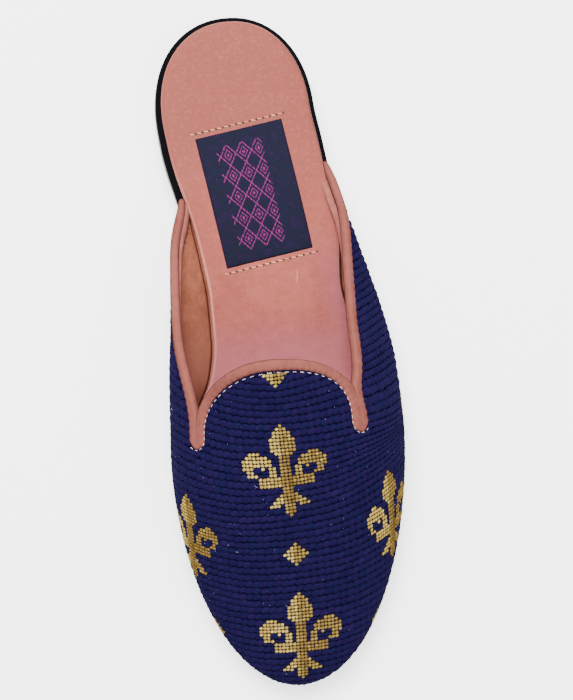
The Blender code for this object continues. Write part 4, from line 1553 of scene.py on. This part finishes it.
def facing(paint):
    """The inner edge of the binding, laid flat on the lining and stitched down."""
    shares = (0.04, 0.20, 0.40, 0.60, 0.80, 0.94, 1.0)
    width = facing_width()
    outer = np.arange(len(width)) > TOPLINE.feet[1]
    swell = (0.8 + 1.9 * outer * eased(TOPLINE.notch / (12 * MM))) * MM * TOPLINE.size
    top, bottom = [], []
    for share, place in zip(shares, TOPLINE.aside([share * width[:, None] for share in shares])):
        lift = (0.25 * MM + swell * rounded(1 - abs(2 * share - 1), 1)) * (1 - share**6)
        top.append(LAST.place(*place, -FACING_DEPTH - lift))
        bottom.append(LAST.place(*place, -WALL + 0.25 * MM))
    table = np.stack(top + bottom[::-1] + top[:1], axis=1)
    piece = quilted("binding_facing", table[TOPLINE.size > 0.62], capped=True)
    settle(piece, paint, "binding_leather")


def seam(name, distance, height, spaced, radius, paint, seed):
    """Dashes along a line beside the topline, on the wall's outside or its inside.

    spaced turns the lengths along the line into the dashes' places and their own lengths.
    """
    rows, columns = TOPLINE.aside([distance])[0]
    path = LAST.place(rows, columns, height)
    lengths = girths(path)
    places, long = spaced(lengths)
    up = math.copysign(1, height) * unit(read(LAST.normals, rows, columns))
    ahead = np.gradient(path, axis=0)
    middles, ahead, up = (sampled(table, lengths, places) for table in (path, ahead, up))
    dashes(name, middles, unit(ahead), unit(up), long, radius, paint, seed)


def tab_dashes(lengths):
    """The tab's dashes, from notch to notch, closer together down its sides."""
    start, end = (lengths[foot] for foot in TOPLINE.feet)
    middle = (start + end) / 2
    places = [start]
    while places[-1] < end:
        aside = abs(places[-1] - middle) / (middle - start)
        places.append(places[-1] + (3.4 - 1.0 * eased((aside - 0.40) / 0.30)) * MM)
    return np.array(places), np.gradient(places) * 0.54


def facing_dashes(lengths):
    """The facing's dashes, evenly spaced between the binding's tips."""
    keep = np.flatnonzero(TOPLINE.size > 0.75)
    return np.arange(lengths[keep[0]], lengths[keep[-1]], 2.2 * MM), 2.1 * MM


def seams(white, dark_thread_and_shade):
    """The dashes along the tab, and the facing's sewing in near-black: thread and painted shade."""
    seam("tab_thread", 2.25 * MM, 0.32 * MM, tab_dashes, 0.145 * MM, white, 7)
    below = 1.05 * facing_width()[:, None]
    # Near-black dashes: the facing's sewing, and painted shade in the gap of its seam.
    seam("facing_thread", below, -FACING_DEPTH, facing_dashes, 0.34 * MM, dark_thread_and_shade, 8)


# ---------------------------------------------------------------- putting it together

NAVY = (
    (0.12, (0.0036, 0.0020, 0.0165)),
    (0.38, (0.0044, 0.0032, 0.0220)),
    (0.60, (0.0072, 0.0038, 0.0290)),
    (0.88, (0.0125, 0.0062, 0.0430)),
)
GOLD = (
    (0.05, (0.60, 0.45, 0.135)),
    (0.36, (0.33, 0.235, 0.060)),
    (0.62, (0.165, 0.108, 0.028)),
    (0.95, (0.080, 0.046, 0.010)),
)

stage()
camera()
black = edge_paint("black_waxed_leather", 0.30, 0.0)
lining_leather = leather_paint(
    "lining_leather",
    (0.220, 0.070, 0.041),
    (0.145, 0.042, 0.024),
    (0.300, 0.110, 0.062),
    # fore paints the lining paler towards the toe: painted light against the shade inside.
    fore=(0.340, 0.135, 0.100),
)
insole_leather = leather_paint(
    "insole_leather",
    (0.242, 0.060, 0.046),
    (0.200, 0.047, 0.034),
    (0.292, 0.077, 0.061),
    # The pale rim is a painted highlight on the insole's soft edge.
    rim=((0.56, 0.245, 0.195), 0.7, 0.02, 0.20),
    # Lilac is painted light; the darker heel and the shaded flank are painted shade.
    cast={
        "lilac": (0.270, 0.080, 0.114),
        "shaded": (0.060, 0.016, 0.013),
        "painted_heel_shade": (0.176, 0.041, 0.030),
        "scratched": (0.42, 0.17, 0.15),
        "pressed": MIDDLE_ALONG - 31 * MM,
    },
)
binding_leather = leather_paint(
    "binding_leather",
    (0.148, 0.047, 0.038),
    (0.098, 0.028, 0.022),
    (0.205, 0.063, 0.047),
    grain=(0.22, 0.40, 0.0),
    # The dark rim is painted shade down the bead's flanks; crown is a painted highlight on its top.
    rim=((0.036, 0.012, 0.009), 0.85, 0.38, 0.90),
    crown=0.45,
)
# The binding's own leather, painted paler as painted light against the shade it lies in.
facing_leather_painted_light = leather_paint(
    "facing_leather_painted_light",
    (0.212, 0.069, 0.055),
    (0.145, 0.043, 0.034),
    (0.280, 0.100, 0.082),
    grain=(0.18, 0.42, 0.0),
)
outsole(black, tread_paint(), lining_leather, edge_paint("dull_black_leather", 0.0, 0.9))
heel(black, rubber_paint())
insole(insole_leather)
label(label_paint())
label_threads(
    thread_paint("gold_thread", (0.16, 0.050, 0.020), (0.80, 0.39, 0.215)),
    # Near black for the holes: painted shade.
    thread_paint("needle_hole_shade", (0.012, 0.004, 0.003), (0.05, 0.016, 0.009)),
)
shell("canvas_backing", -0.35 * MM, -1.4 * MM, backing_paint(), "wool", "upper")
shell("lining", -1.45 * MM, -WALL, lining_leather, "lining_leather")
binding(binding_leather)
facing(facing_leather_painted_light)
seams(
    thread_paint("white_thread", (0.20, 0.14, 0.14), (0.75, 0.62, 0.62)),
    # Near black, for the facing's sewing and the painted shade of its seam.
    thread_paint("dark_thread_and_seam_shade", (0.010, 0.004, 0.003), (0.085, 0.034, 0.024)),
)
navy_casts = ((0.0105, 0.0034, 0.0320), (0.0034, 0.0060, 0.0250))
# Each wool's third colour is its painted shade, for grooves, flanks and ends.
needlework(
    wool_paint("navy_wool", NAVY, (0.0030, 0.0021, 0.0160), 0.20, shade=0.5, casts=navy_casts),
    wool_paint("gold_wool", GOLD, (0.050, 0.024, 0.0040), 0.9),
)
lint(thread_paint("pale_lint", (0.06, 0.07, 0.14), (0.32, 0.35, 0.46)))
